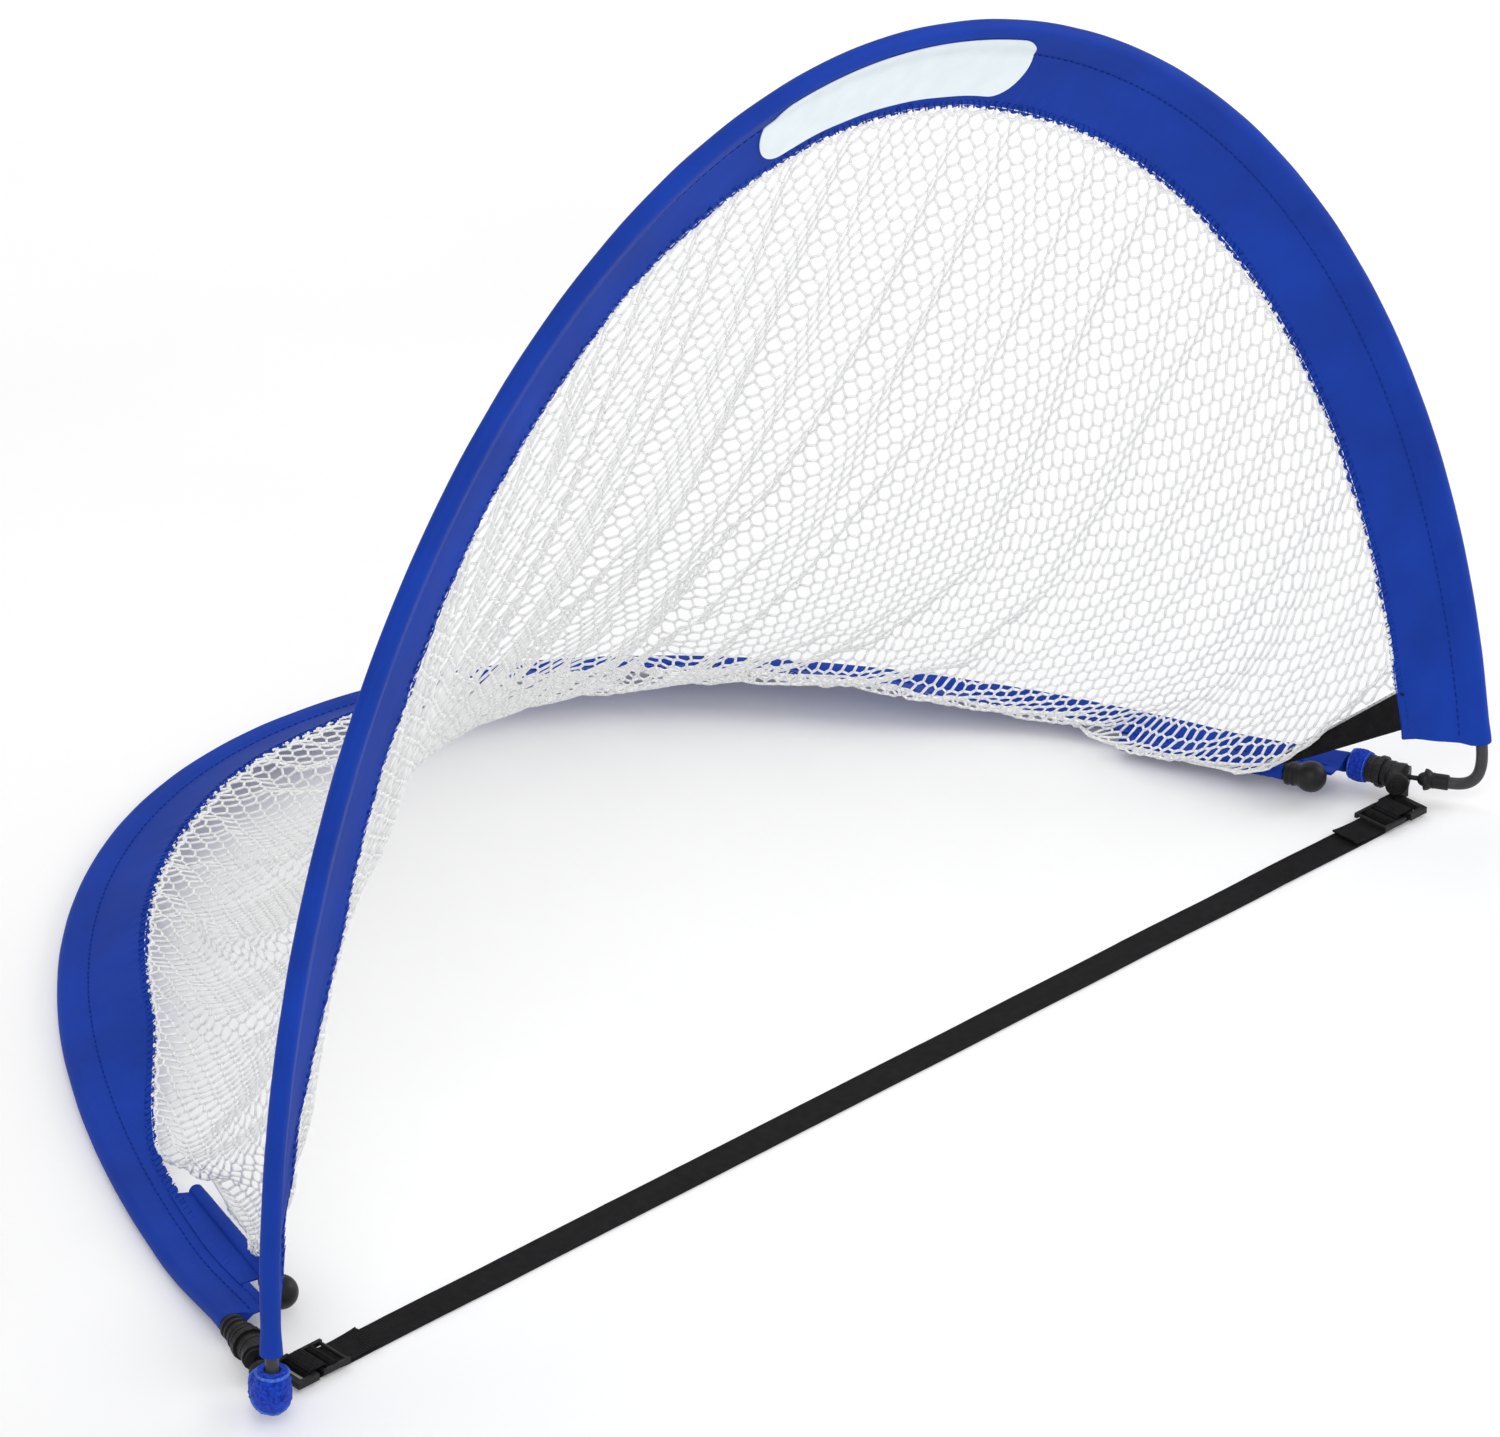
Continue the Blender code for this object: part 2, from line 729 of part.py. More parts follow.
def build_connector(side, word):
    """Barrels to the swivel ball and the ground pole, a capped hub and a strap eye."""
    ball, corner, way = pivot(side), elbow(side), to_back(side)
    path = ground_from(side)
    pole_way = path[60] - path[0]
    pole_way = unit([pole_way[0], pole_way[1], 0.0])
    hub_way = unit([-side * HUB_IN, -HUB_FORWARD, 0.0])
    eye_x = (EYE_X - EYE_HALF_X, EYE_X + EYE_HALF_X)
    hole_x = (EYE_X - EYE_HOLE_HALF_X, EYE_X + EYE_HOLE_HALF_X)
    carved(
        f"corner_connector_{word}",
        bar_along(ball, way, SWIVEL_BARREL),
        [
            bar_along(ball, way, SWIVEL_COLLAR),
            bar_along(corner, pole_way, POLE_BARREL),
            bar_along(corner, pole_way, POLE_COLLAR),
            bar_along(corner, hub_way, HUB),
            block(side, eye_x, (-EYE_HALF_Y, EYE_HALF_Y), EYE_Z),
            block(side, ARM_X, ARM_Y, ARM_Z),
            block(side, POST_X, ARM_Y, POST_Z),
        ],
        [
            bar_along(ball, way, STUD_HOLE),
            bar_along(corner, pole_way, POLE_HOLE),
            bar_along(corner, hub_way, HUB_HOLE),
            block(side, hole_x, (-EYE_HOLE_HALF_Y, EYE_HOLE_HALF_Y), EYE_HOLE_Z),
        ],
        BLACK_PLASTIC,
        ground_frame,
    )
    turned(
        f"connector_cap_{word}", CAP_PROFILE, corner, hub_way, BLACK_PLASTIC, ground_frame
    )
    ball_arc = arc(BALL_R, math.radians(160), math.asin(STUD_R / BALL_R), 7)
    turned(
        f"swivel_stud_{word}",
        [(-BALL_R, 0.0)] + ball_arc + [(STUD_END, STUD_R), (STUD_END, 0.0)],
        ball,
        way,
        BLACK_PLASTIC,
        ground_frame,
    )


# ---------------------------------------------------------------- ground strap
STRAP_W = 0.025
STRAP_BAR_GAP = 0.0005  # clearance round the buckle's middle bar
# (x from the middle bar, z above the flat strap's middle): the way to the buckle
STRAP_RUN = [(-0.060, 0.0), (-0.010, 0.0), (-0.0055, 0.0006)]
# (x from the middle bar, z above the lawn): the tail, back from the bar
STRAP_TAIL = [
    (-0.0040, 0.0040), (-0.0058, 0.0030), (-0.0085, 0.0027),
    (-0.0200, 0.0027), (-0.0300, 0.0032), (-0.0400, 0.0044),
]


def webbing_ring(first, second, width):
    """One cross section of flat webbing; first and second are (x, z) on its two faces."""
    (x1, z1), (x2, z2) = first, second
    y = width / 2
    return [(x1, -y, z1), (x1, y, z1), (x2, y, z2), (x2, -y, z2)]


def strap_right_half():
    """(x, z) along the lawn, round the buckle's middle bar and back as a tail."""
    wrap_r = BAR_R + STRAP_BAR_GAP + STRAP_T / 2
    line = [(0.0, STRAP_T / 2)]
    line += [(BUCKLE_X + x, STRAP_T / 2 + z) for x, z in STRAP_RUN]
    for angle in np.radians(np.linspace(-90, 170, 14)):
        x = BUCKLE_X + wrap_r * math.cos(angle)
        line.append((x, BUCKLE_Z + wrap_r * math.sin(angle)))
    return line + [(BUCKLE_X + x, z) for x, z in STRAP_TAIL]


def build_strap():
    half = strap_right_half()
    line = np.array([(-x, z) for x, z in reversed(half)] + half[1:])
    way = np.gradient(line, axis=0)
    way /= np.linalg.norm(way, axis=1)[:, None]
    offset = np.stack([-way[:, 1], way[:, 0]], axis=1) * STRAP_T / 2
    rings = [webbing_ring(p - shift, p + shift, STRAP_W) for p, shift in zip(line, offset)]
    ring_solid("ground_strap", rings, BLACK_WEB, ground_frame)


# ---------------------------------------------------------------- buckles and anchor loops
INNER_BAR = 0.0095  # middle bar to the bar nearer the middle of the goal
OUTER_BAR = 0.0098  # middle bar to the bar nearer the corner
INNER_BAR_R = 0.0014
INNER_BAR_RISE = 0.0004
BUCKLE_BAR_HALF = 0.0150  # half length of the bars
RAIL_Y = (0.0132, 0.0158)  # span of the back rail; the front one mirrors it
RAIL_HALF_H = 0.0019
RAIL_OVER = 0.0020  # rail past the end bars' axes

LOOP_W = 0.0240
LOOP_EYE_R = 0.0040  # inside of the loop round the eye's bar
LOOP_BUCKLE_R = 0.0038  # and round the buckle's outer bar


def buckle_bar(x, z, radius):
    return bar((x, -BUCKLE_BAR_HALF, z), (x, BUCKLE_BAR_HALF, z), radius, 8)


def build_buckle(side, word):
    middle = side * BUCKLE_X
    holder = empty(f"strap_buckle_{word}_pivot", (middle, 0.0, BUCKLE_Z), ground_frame)
    rail_x = (BUCKLE_X - INNER_BAR - RAIL_OVER, BUCKLE_X + OUTER_BAR + RAIL_OVER)
    rail_z = (BUCKLE_Z - RAIL_HALF_H, BUCKLE_Z + RAIL_HALF_H)
    inner_x = middle - side * INNER_BAR
    outer_x = middle + side * OUTER_BAR
    carved(
        f"strap_buckle_{word}",
        block(side, rail_x, RAIL_Y, rail_z),
        [
            block(side, rail_x, [-y for y in RAIL_Y], rail_z),
            buckle_bar(middle, BUCKLE_Z, BAR_R),
            buckle_bar(outer_x, BUCKLE_Z, BAR_R),
            buckle_bar(inner_x, BUCKLE_Z + INNER_BAR_RISE, INNER_BAR_R),
        ],
        [],
        BLACK_PLASTIC,
        holder,
    )


def build_anchor_loop(side, word):
    """Short webbing loop from the connector's eye to the buckle's outer bar."""
    eye_bar = EYE_X - (EYE_HALF_X + EYE_HOLE_HALF_X) / 2
    buckle_end = BUCKLE_X + OUTER_BAR
    rings = []
    for centre, radius, start in (
        (eye_bar, LOOP_EYE_R, -90),
        (buckle_end, LOOP_BUCKLE_R, 90),
    ):
        for angle in np.radians(np.linspace(start, start + 180, 9)):
            outer, inner = (
                (side * (centre + r * math.cos(angle)), BUCKLE_Z + r * math.sin(angle))
                for r in (radius + STRAP_T, radius)
            )
            rings.append(webbing_ring(outer, inner, LOOP_W))
    ring_solid(f"strap_anchor_loop_{word}", rings, BLACK_WEB, ground_frame, closed=True)


# ---------------------------------------------------------------- ground pegs
PEG_BALL = (0.5135, 0.0580, 0.0226)  # centre of the right peg's ball
PEG_SLOPE = math.radians(4.5)  # the peg runs down
PEG_TURN = math.radians(19.0)  # and inwards on its way to the back
PEG_R = 0.0025
PEG_START = 0.0050  # distances are from the ball's centre
PEG_LEN = 0.150
PEG_TAPER = 0.012
PEG_TIP_R = 0.0006
PEG_BALL_R = 0.012
# Collar of the grip, then its bore for the peg: (distance from the ball's centre, radius)
GRIP_COLLAR = [
    (0.0120, 0.0085), (0.0125, 0.0090), (0.0195, 0.0090), (0.0200, 0.0084),
    (0.0200, 0.0028), (0.0047, 0.0028), (0.0047, 0.0),
]
POCKET_START, POCKET_END = 0.0215, 0.158
POCKET_RADII = [0.0062, 0.0056, 0.0054, 0.0054, 0.0052]
POCKET_BORE = 0.0034


def build_peg(side, word):
    """A ground peg with a ball grip, lying in its fabric pocket."""
    start = np.array(PEG_BALL) * [side, 1, 1]
    run = np.array(
        [
            -side * math.sin(PEG_TURN) * math.cos(PEG_SLOPE),
            math.cos(PEG_TURN) * math.cos(PEG_SLOPE),
            -math.sin(PEG_SLOPE),
        ]
    )
    slide = empty(f"ground_peg_{word}_slide", tuple(start), ground_frame)
    peg = [
        (PEG_START, 0.0), (PEG_START, PEG_R), (PEG_LEN - PEG_TAPER, PEG_R),
        (PEG_LEN, PEG_TIP_R), (PEG_LEN, 0.0),
    ]
    turned(f"ground_peg_{word}", peg, start, run, STEEL, slide, sides=10)
    ball = [(-PEG_BALL_R, 0.0)] + arc(PEG_BALL_R, math.radians(160), math.radians(52), 7)
    turned(f"peg_grip_{word}", ball + GRIP_COLLAR, start, run, BLACK_PLASTIC, slide)
    along = np.linspace(POCKET_START, POCKET_END, len(POCKET_RADII))
    pipe(
        f"peg_pocket_{word}",
        start + np.outer(along, run),
        POCKET_RADII,
        POCKET_BORE,
        BLUE,
        ground_frame,
    )


# ---------------------------------------------------------------- net
NET_COLS, NET_ROWS = 28, 9
NET_T = 0.0020
NET_GAP = 0.0025  # flap's edge to the net
NET_SAG = 0.045
SAG_WAY = np.array([0.0, -0.75, -0.45])  # forwards and down
NET_FOOT = 0.100  # the net is sewn to the front sleeve above this height
NET_START = 0.094  # and to the ground sleeve from this far along the ground pole
POCKET_REACH = 0.0590  # ground pole's axis to the pocket's inner side
POCKET_RUN = 0.06  # where the net's edge leaves the pocket


def front_net_edge():
    """Where the net meets the front flap, left to right."""
    dense = front_curve(NET_FOOT)
    length = path_length(dense)
    along = np.linspace(0, length, NET_COLS + 1)
    points = along_path(dense, along)
    along = along + (FRONT_LEN - length) / 2  # from here on, along the front sleeve
    flap, _ = flap_axes(front_inward(points), BACK, front_tilt(along)[:, None])
    reach = front_width(along) + NET_GAP
    return points + reach[:, None] * flap + front_raise(along, points)


def ground_net_edge():
    """Where the net meets the ground flap, left to right."""
    along = np.linspace(NET_START, GROUND_LEN - NET_START, NET_COLS + 1)
    points = along_path(ground, along)
    # beside the pockets the net is sewn to the pocket's inner side
    pocket_share = (ground_near(along) - WIDEN_START) / POCKET_RUN
    pocket = ease(POCKET_REACH, FLAP_END_W, pocket_share)
    reach = np.maximum(ground_width(along), pocket) + NET_GAP
    flap, _ = flap_axes(ground_inward(points), Z_AXIS, ground_tilt(along)[:, None])
    return points + reach[:, None] * flap


def net_middle(upper, lower):
    """Grid of points on the net's middle surface, sagging between its edges."""
    grid = np.zeros((NET_COLS + 1, NET_ROWS + 1, 3))
    for i in range(NET_COLS + 1):
        across = math.sin(math.pi * i / NET_COLS) ** 0.7
        for j in range(NET_ROWS + 1):
            share = j / NET_ROWS
            sag = NET_SAG * across * math.sin(math.pi * share)
            grid[i, j] = (1 - share) * upper[i] + share * lower[i] + sag * SAG_WAY
    return grid


def build_net(upper, lower):
    """The net as a thin sheet with two faces and a closed rim."""
    grid = net_middle(upper, lower)
    normal = np.cross(np.gradient(grid, axis=0), np.gradient(grid, axis=1))
    normal /= np.linalg.norm(normal, axis=2)[..., None]
    bm = bmesh.new()
    a, b = (add_verts(bm, grid + sign * NET_T / 2 * normal) for sign in (-1, 1))
    for i in range(NET_COLS):
        for j in range(NET_ROWS):
            bm.faces.new((a[i][j], a[i][j + 1], a[i + 1][j + 1], a[i + 1][j]))
            bm.faces.new((b[i][j], b[i + 1][j], b[i + 1][j + 1], b[i][j + 1]))
    for i in range(NET_COLS):
        for j in (0, NET_ROWS):
            bm.faces.new((a[i][j], a[i + 1][j], b[i + 1][j], b[i][j]))
    for j in range(NET_ROWS):
        for i in (0, NET_COLS):
            bm.faces.new((a[i][j], a[i][j + 1], b[i][j + 1], b[i][j]))
    finish("net", bm, WHITE_NET, ground_frame)


# ---------------------------------------------------------------- corner gussets
GUSSET_CORNER = {-1: (-0.5520, 0.0060, 0.0700), 1: (0.5300, 0.0060, 0.0700)}
GUSSET_CUFF = (0.5110, 0.0580, 0.0420)  # right cuff corner, before it is made flat
GUSSET_HALF_T = 0.0007
GUSSET_CLEAR = 0.0045  # long edge to the net's side edge
GUSSET_TOP_CUT = 0.006  # long edge's ends, short of the net's corners
GUSSET_FOOT_CUT = 0.012


def build_gusset(side, word, high, low):
    """A flat four-sided cloth; high and low are the ends of the net's side edge."""
    fall = unit(low - high)
    corner = np.array(GUSSET_CORNER[side])
    away = corner - high
    away = unit(away - fall * (away @ fall))
    # the long edge runs just below the net's side edge
    high = high + away * GUSSET_CLEAR + fall * GUSSET_TOP_CUT
    low = low + away * GUSSET_CLEAR - fall * GUSSET_FOOT_CUT
    normal = unit(np.cross(low - high, corner - high))
    cuff = np.array(GUSSET_CUFF) * [side, 1, 1]
    cuff = cuff - normal * ((cuff - high) @ normal)
    face = np.array([corner, high, low, cuff])
    offset = normal * GUSSET_HALF_T
    rings = [face - offset, face + offset]
    ring_solid(f"corner_gusset_{word}", rings, BLACK_CLOTH, ground_frame)


# ---------------------------------------------------------------- build
ground_frame = empty("ground_frame", (0, 0, 0))
front_arch = empty("front_arch", (0, HINGE_Y, HINGE_Z), ground_frame)

build_front_pole()
build_front_sleeve()
build_left_tie_band()
build_badge()
build_ground_pole()
build_ground_sleeve()
build_right_tie_band()
build_strap()
upper_edge, lower_edge = front_net_edge(), ground_net_edge()
build_net(upper_edge, lower_edge)
for side, word in SIDES:
    build_corner_bend(side, word)
    build_ground_ferrule(side, word)
    build_connector(side, word)
    build_buckle(side, word)
    build_anchor_loop(side, word)
    build_peg(side, word)
    end = 0 if side < 0 else -1
    build_gusset(side, word, upper_edge[end], lower_edge[end])
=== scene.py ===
"""Looks for a pop up goal: cloth sleeves, a cord net, webbing, moulded corners and pegs.

X runs across the goal (left is -X), +Y from the mouth to the back, +Z up; the ground is z = 0.
The front arch stands over the mouth, leans back, and folds about a hinge at each foot.
The ground arch lies flat and curves round the back.  Metres throughout.
"""
import json
from math import asin, cos, pi, radians, sin, sqrt, tan

import bmesh
import bpy
import numpy as np
from mathutils import Matrix, Vector, noise
from numpy.linalg import norm


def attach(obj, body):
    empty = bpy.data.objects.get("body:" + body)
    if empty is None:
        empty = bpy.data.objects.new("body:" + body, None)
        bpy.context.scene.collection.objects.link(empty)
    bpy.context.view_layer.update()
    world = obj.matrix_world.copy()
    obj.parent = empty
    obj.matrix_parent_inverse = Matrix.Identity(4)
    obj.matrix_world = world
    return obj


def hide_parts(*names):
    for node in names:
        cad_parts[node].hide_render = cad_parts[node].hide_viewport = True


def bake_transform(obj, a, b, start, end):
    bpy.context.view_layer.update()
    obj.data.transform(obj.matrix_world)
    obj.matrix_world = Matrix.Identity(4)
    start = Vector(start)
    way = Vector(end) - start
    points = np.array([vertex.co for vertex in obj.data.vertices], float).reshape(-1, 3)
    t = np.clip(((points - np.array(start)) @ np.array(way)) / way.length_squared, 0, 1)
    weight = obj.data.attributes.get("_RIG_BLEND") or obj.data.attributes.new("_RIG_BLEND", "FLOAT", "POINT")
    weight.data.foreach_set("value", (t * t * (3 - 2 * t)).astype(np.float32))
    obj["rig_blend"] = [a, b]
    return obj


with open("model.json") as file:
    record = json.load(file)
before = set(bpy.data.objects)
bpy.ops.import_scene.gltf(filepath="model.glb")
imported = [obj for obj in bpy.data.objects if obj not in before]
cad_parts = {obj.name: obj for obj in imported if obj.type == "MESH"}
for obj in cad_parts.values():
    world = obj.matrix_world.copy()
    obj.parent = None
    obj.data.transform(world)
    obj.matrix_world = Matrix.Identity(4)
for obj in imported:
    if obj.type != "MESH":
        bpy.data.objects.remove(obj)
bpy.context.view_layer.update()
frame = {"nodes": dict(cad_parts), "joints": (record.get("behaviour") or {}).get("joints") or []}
SIDES = ((-1, "left"), (1, "right"))
UPRIGHT = np.array([0.0, 0.0, 1.0])

# ------------------------------------------------------------------ driving dimensions
GOAL_WIDTH, GOAL_HEIGHT = 1.2192, 0.787
SLEEVE_R, POLE_R = 0.0076, 0.0046
LEAN, LEG_Y = radians(5.7), -0.040
ARCH_UP = np.array([0.0, sin(LEAN), cos(LEAN)])
ARCH_BACK = np.array([0.0, cos(LEAN), -sin(LEAN)])
ARCH_FOOT = np.array([0.0, LEG_Y, 0.0])
ARCH_A = GOAL_WIDTH / 2 - SLEEVE_R
ARCH_H = GOAL_HEIGHT - SLEEVE_R
FRONT_POWER, GROUND_POWER = 1.97, 2.034  # superellipse powers of the two arches
GROUND_B, GROUND_CY, GROUND_Z = 1.0957 - SLEEVE_R, -0.420, 0.0086
CUFF = 0.037  # bare length at each end of the ground arch

HINGE = [joint for joint in frame["joints"] if joint["name"] == "arch_fold"][0]["pos_m"]
HINGE_Y, HINGE_Z = HINGE[1], HINGE[2]
FOLD_ANGLE = radians(81.0)
BEND_TURN, BEND_REACH, BEND_START = radians(60.0), 0.042, 0.055
ELBOW_REACH = 0.0235  # from the hinge to the connector's elbow

FLAP, FLAP_END = 0.0645, 0.0310  # flap's reach from the pole, full and at the ground arch's ends
FLAP_TILT = radians(25.0)

PEG_X, PEG_Y, PEG_Z = 0.5135, 0.0580, 0.0226  # origin of the peg's axis, at the grip
PEG_SLOPE, PEG_TURN = radians(4.5), radians(19.0)


# ------------------------------------------------------------------ curves
def unit(vector):
    vector = np.asarray(vector, float)
    return vector / norm(vector)


def smooth(t):
    t = np.clip(t, 0.0, 1.0)
    return t * t * (3 - 2 * t)


def travelled(points):
    """Distance along a line at each of its points."""
    return np.concatenate([[0], np.cumsum(norm(np.diff(points, axis=0), axis=1))])


def resample(points, stations):
    along = travelled(points)
    return np.stack([np.interp(stations, along, points[:, k]) for k in range(3)], axis=1)


def length(points):
    return float(norm(np.diff(points, axis=0), axis=1).sum())


def tangents(points):
    way = np.gradient(np.asarray(points, float), axis=0)
    return way / norm(way, axis=1)[:, None]


def wobble(x, y, z=0.0):
    return noise.noise(Vector((x, y, z)))


def superellipse(half_width, height, power, start):
    """x and rise, from left to right, beginning and ending at the start angle."""
    t = np.linspace(pi - start, start, 4001)
    x = half_width * np.sign(np.cos(t)) * np.abs(np.cos(t)) ** (2 / power)
    return x, height * np.abs(np.sin(t)) ** (2 / power)


def front_curve(low):
    """The front arch's centreline above a height measured up its lean."""
    start = asin((low / ARCH_H) ** (FRONT_POWER / 2))
    x, rise = superellipse(ARCH_A, ARCH_H, FRONT_POWER, start)
    points = np.outer(rise, ARCH_UP)
    points[:, 0] += x
    points[:, 1] += LEG_Y
    return points


def inward(points, plane_normal, middle):
    """Unit normals of a flat curve that point to its middle."""
    normals = np.cross(plane_normal, tangents(points))
    normals /= norm(normals, axis=1)[:, None]
    return normals * np.sign(((middle - points) * normals).sum(axis=1))[:, None]


HINGE_X = front_curve(BEND_START)[-1][0] - BEND_REACH * cos(BEND_TURN)


def to_back(side):
    """Direction in which the bend points back into the connector."""
    return np.array([-side * cos(BEND_TURN), sin(BEND_TURN), 0.0])


def pivot(side):
    return np.array([side * HINGE_X, HINGE_Y, HINGE_Z])


def elbow(side):
    return pivot(side) + to_back(side) * ELBOW_REACH


def ground_curve():
    """The ground arch's centreline through both elbows, sinking from hinge height."""
    share = (elbow(1)[1] - GROUND_CY) / GROUND_B
    half_width = elbow(1)[0] / (1 - share**GROUND_POWER) ** (1 / GROUND_POWER)
    start = asin(share ** (GROUND_POWER / 2))
    x, rise = superellipse(half_width, GROUND_B, GROUND_POWER, start)
    points = np.stack([x, GROUND_CY + rise, 0 * x], axis=1)
    along = travelled(points)
    near = np.minimum(along, along[-1] - along)
    points[:, 2] = HINGE_Z + (GROUND_Z - HINGE_Z) * smooth((near - 0.024) / 0.116)
    return points, float(along[-1])


ground, GROUND_LENGTH = ground_curve()


def peg_start(side):
    return np.array([side * PEG_X, PEG_Y, PEG_Z])


def peg_run(side):
    """Direction of a peg from its grip to its point: back, inward and down."""
    flat = cos(PEG_SLOPE)
    return np.array([-side * sin(PEG_TURN) * flat, cos(PEG_TURN) * flat, -sin(PEG_SLOPE)])


# ------------------------------------------------------------------ materials
def shader(name, rgb, rough, metal=0.0, vary=0.12, scale=40.0, bump=0.15, bump_scale=300.0,
           depth=0.0006, weave=False, sheen=0.0, specular=0.5):
    """Blotched colour and roughness over a fine noise or woven bump.

    vary and scale are the blotches' contrast and frequency; bump, bump_scale and depth are
    the relief's strength, frequency and distance.
    """
    material = bpy.data.materials.new(name)
    material.use_nodes = True
    material.diffuse_color = (*rgb, 1)
    nodes, link = material.node_tree.nodes, material.node_tree.links.new
    surface = nodes["Principled BSDF"]
    coords = nodes.new("ShaderNodeTexCoord").outputs["Object"]

    def noise_node(noise_scale, detail):
        node = nodes.new("ShaderNodeTexNoise")
        node.inputs["Scale"].default_value = noise_scale
        node.inputs["Detail"].default_value = detail
        link(coords, node.inputs["Vector"])
        return node.outputs["Fac"]

    blotches = noise_node(scale, 5)
    ramp = nodes.new("ShaderNodeValToRGB")
    dark, light = ramp.color_ramp.elements
    dark.position, light.position = 0.3, 0.7
    dark.color = (*[c * (1 - vary) for c in rgb], 1)
    light.color = (*[min(1, c * (1 + vary)) for c in rgb], 1)
    link(blotches, ramp.inputs["Fac"])
    link(ramp.outputs["Color"], surface.inputs["Base Color"])
    remap = nodes.new("ShaderNodeMapRange")
    remap.inputs["To Min"].default_value = max(0.02, rough - 0.06)
    remap.inputs["To Max"].default_value = min(1, rough + 0.06)
    link(blotches, remap.inputs["Value"])
    link(remap.outputs["Result"], surface.inputs["Roughness"])
    surface.inputs["Metallic"].default_value = metal
    surface.inputs["Specular IOR Level"].default_value = specular
    if sheen:
        surface.inputs["Sheen Weight"].default_value = sheen
        surface.inputs["Sheen Roughness"].default_value = 0.4
    if bump:
        relief = nodes.new("ShaderNodeBump")
        relief.inputs["Strength"].default_value = bump
        relief.inputs["Distance"].default_value = depth
        if weave:
            threads = []
            for axis in ("X", "Z"):
                wave = nodes.new("ShaderNodeTexWave")
                wave.bands_direction = axis
                wave.inputs["Scale"].default_value = bump_scale
                wave.inputs["Distortion"].default_value = 0.4
                link(coords, wave.inputs["Vector"])
                threads.append(wave.outputs["Fac"])
            upper = nodes.new("ShaderNodeMath")
            upper.operation = "MAXIMUM"
            link(threads[0], upper.inputs[0])
            link(threads[1], upper.inputs[1])
            link(upper.outputs[0], relief.inputs["Height"])
        else:
            link(noise_node(bump_scale, 3), relief.inputs["Height"])
        link(relief.outputs["Normal"], surface.inputs["Normal"])
    return material


BLUE = shader("polyester_blue", rgb=(0.005, 0.041, 0.350), rough=0.6, vary=0.14, scale=14,
              bump=0.25, bump_scale=420, weave=True, depth=0.0002, specular=0.12)
THREAD = shader("thread_blue", rgb=(0.005, 0.037, 0.320), rough=0.7, scale=200, specular=0.1)
BAND = shader("loop_blue", rgb=(0.012, 0.050, 0.48), rough=0.95, vary=0.5, scale=420,
              bump=1.0, bump_scale=700, sheen=0.1, depth=0.0012, specular=0.1)
BAND_EDGE = shader("band_edge", rgb=(0.07, 0.16, 0.62), rough=0.9, vary=0.4, scale=500,
                   specular=0.1)
NET = shader("net_white", rgb=(0.96, 0.965, 0.97), rough=0.65, vary=0.05, scale=300,
             bump=0.4, bump_scale=1500, depth=0.0004)
BADGE = shader("badge_white", rgb=(0.83, 0.91, 0.94), rough=0.5, vary=0.03, scale=60,
               bump=0.2, bump_scale=420, weave=True, depth=0.0002)
GUSSET = shader("gusset_black", rgb=(0.011, 0.010, 0.011), rough=0.85, vary=0.3, scale=90,
                bump=0.6, bump_scale=260, weave=True, depth=0.0004, specular=0.1)
WEB = shader("webbing_black", rgb=(0.010, 0.009, 0.010), rough=0.8, vary=0.35, scale=160,
             bump=0.9, bump_scale=150, weave=True, depth=0.0008, specular=0.15)
PLASTIC = shader("moulded_black", rgb=(0.012, 0.012, 0.013), rough=0.42, vary=0.2, scale=60,
                 bump=0.12, bump_scale=500, specular=0.25)
POLE = shader("pole_grey", rgb=(0.046, 0.046, 0.048), rough=0.38, vary=0.18, scale=120,
              bump=0.1, bump_scale=800, specular=0.3)
STEEL = shader("peg_steel", rgb=(0.17, 0.17, 0.18), rough=0.36, metal=0.9, vary=0.25, scale=150,
               bump=0.2, bump_scale=700)


# ------------------------------------------------------------------ mesh helpers
def add_object(name, data):
    obj = bpy.data.objects.new(name, data)
    bpy.context.scene.collection.objects.link(obj)
    return obj


def make(name, verts, faces, material, sharp=40):
    mesh = bpy.data.meshes.new(name)
    mesh.from_pydata([tuple(map(float, vert)) for vert in verts], [], faces)
    bm = bmesh.new()
    bm.from_mesh(mesh)
    bmesh.ops.remove_doubles(bm, verts=bm.verts, dist=1e-7)
    bmesh.ops.recalc_face_normals(bm, faces=bm.faces)
    bm.to_mesh(mesh)
    bm.free()
    mesh.materials.append(material)
    obj = add_object(name, mesh)
    mesh.shade_smooth()
    mesh.set_sharp_from_angle(angle=radians(sharp))
    return obj


def put(obj, body, slot, *nodes):
    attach(obj, body)
    if nodes:
        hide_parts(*nodes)


def rings_mesh(rings, bores=None, closed=False):
    """Skin a row of rings; bores line an arc of each ring, leaving a channel open at its ends."""
    n, m = len(rings), len(rings[0])
    verts = [point for ring in rings for point in ring]
    faces = []
    for i in range(n if closed else n - 1):
        here, there = i * m, (i + 1) % n * m
        for k in range(m):
            after = (k + 1) % m
            faces.append((here + k, here + after, there + after, there + k))
    if bores is not None:
        base, q = len(verts), len(bores[0])
        verts += [point for bore in bores for point in bore]
        for i in range(n - 1):
            for k in range(q):
                a, b = base + i * q + k, base + i * q + (k + 1) % q
                faces.append((a, a + q, b + q, b))
        for i in (0, n - 1):
            outer, inner = i * m, base + i * q
            for k in range(q - 1):
                faces.append((outer + k, outer + k + 1, inner + k + 1, inner + k))
            rest = [outer + k for k in range(q - 1, m)] + [outer]
            faces.append(tuple(rest + [inner, inner + q - 1]))
    elif not closed:
        faces += [tuple(range(m - 1, -1, -1)), tuple(range((n - 1) * m, n * m))]
    return verts, faces


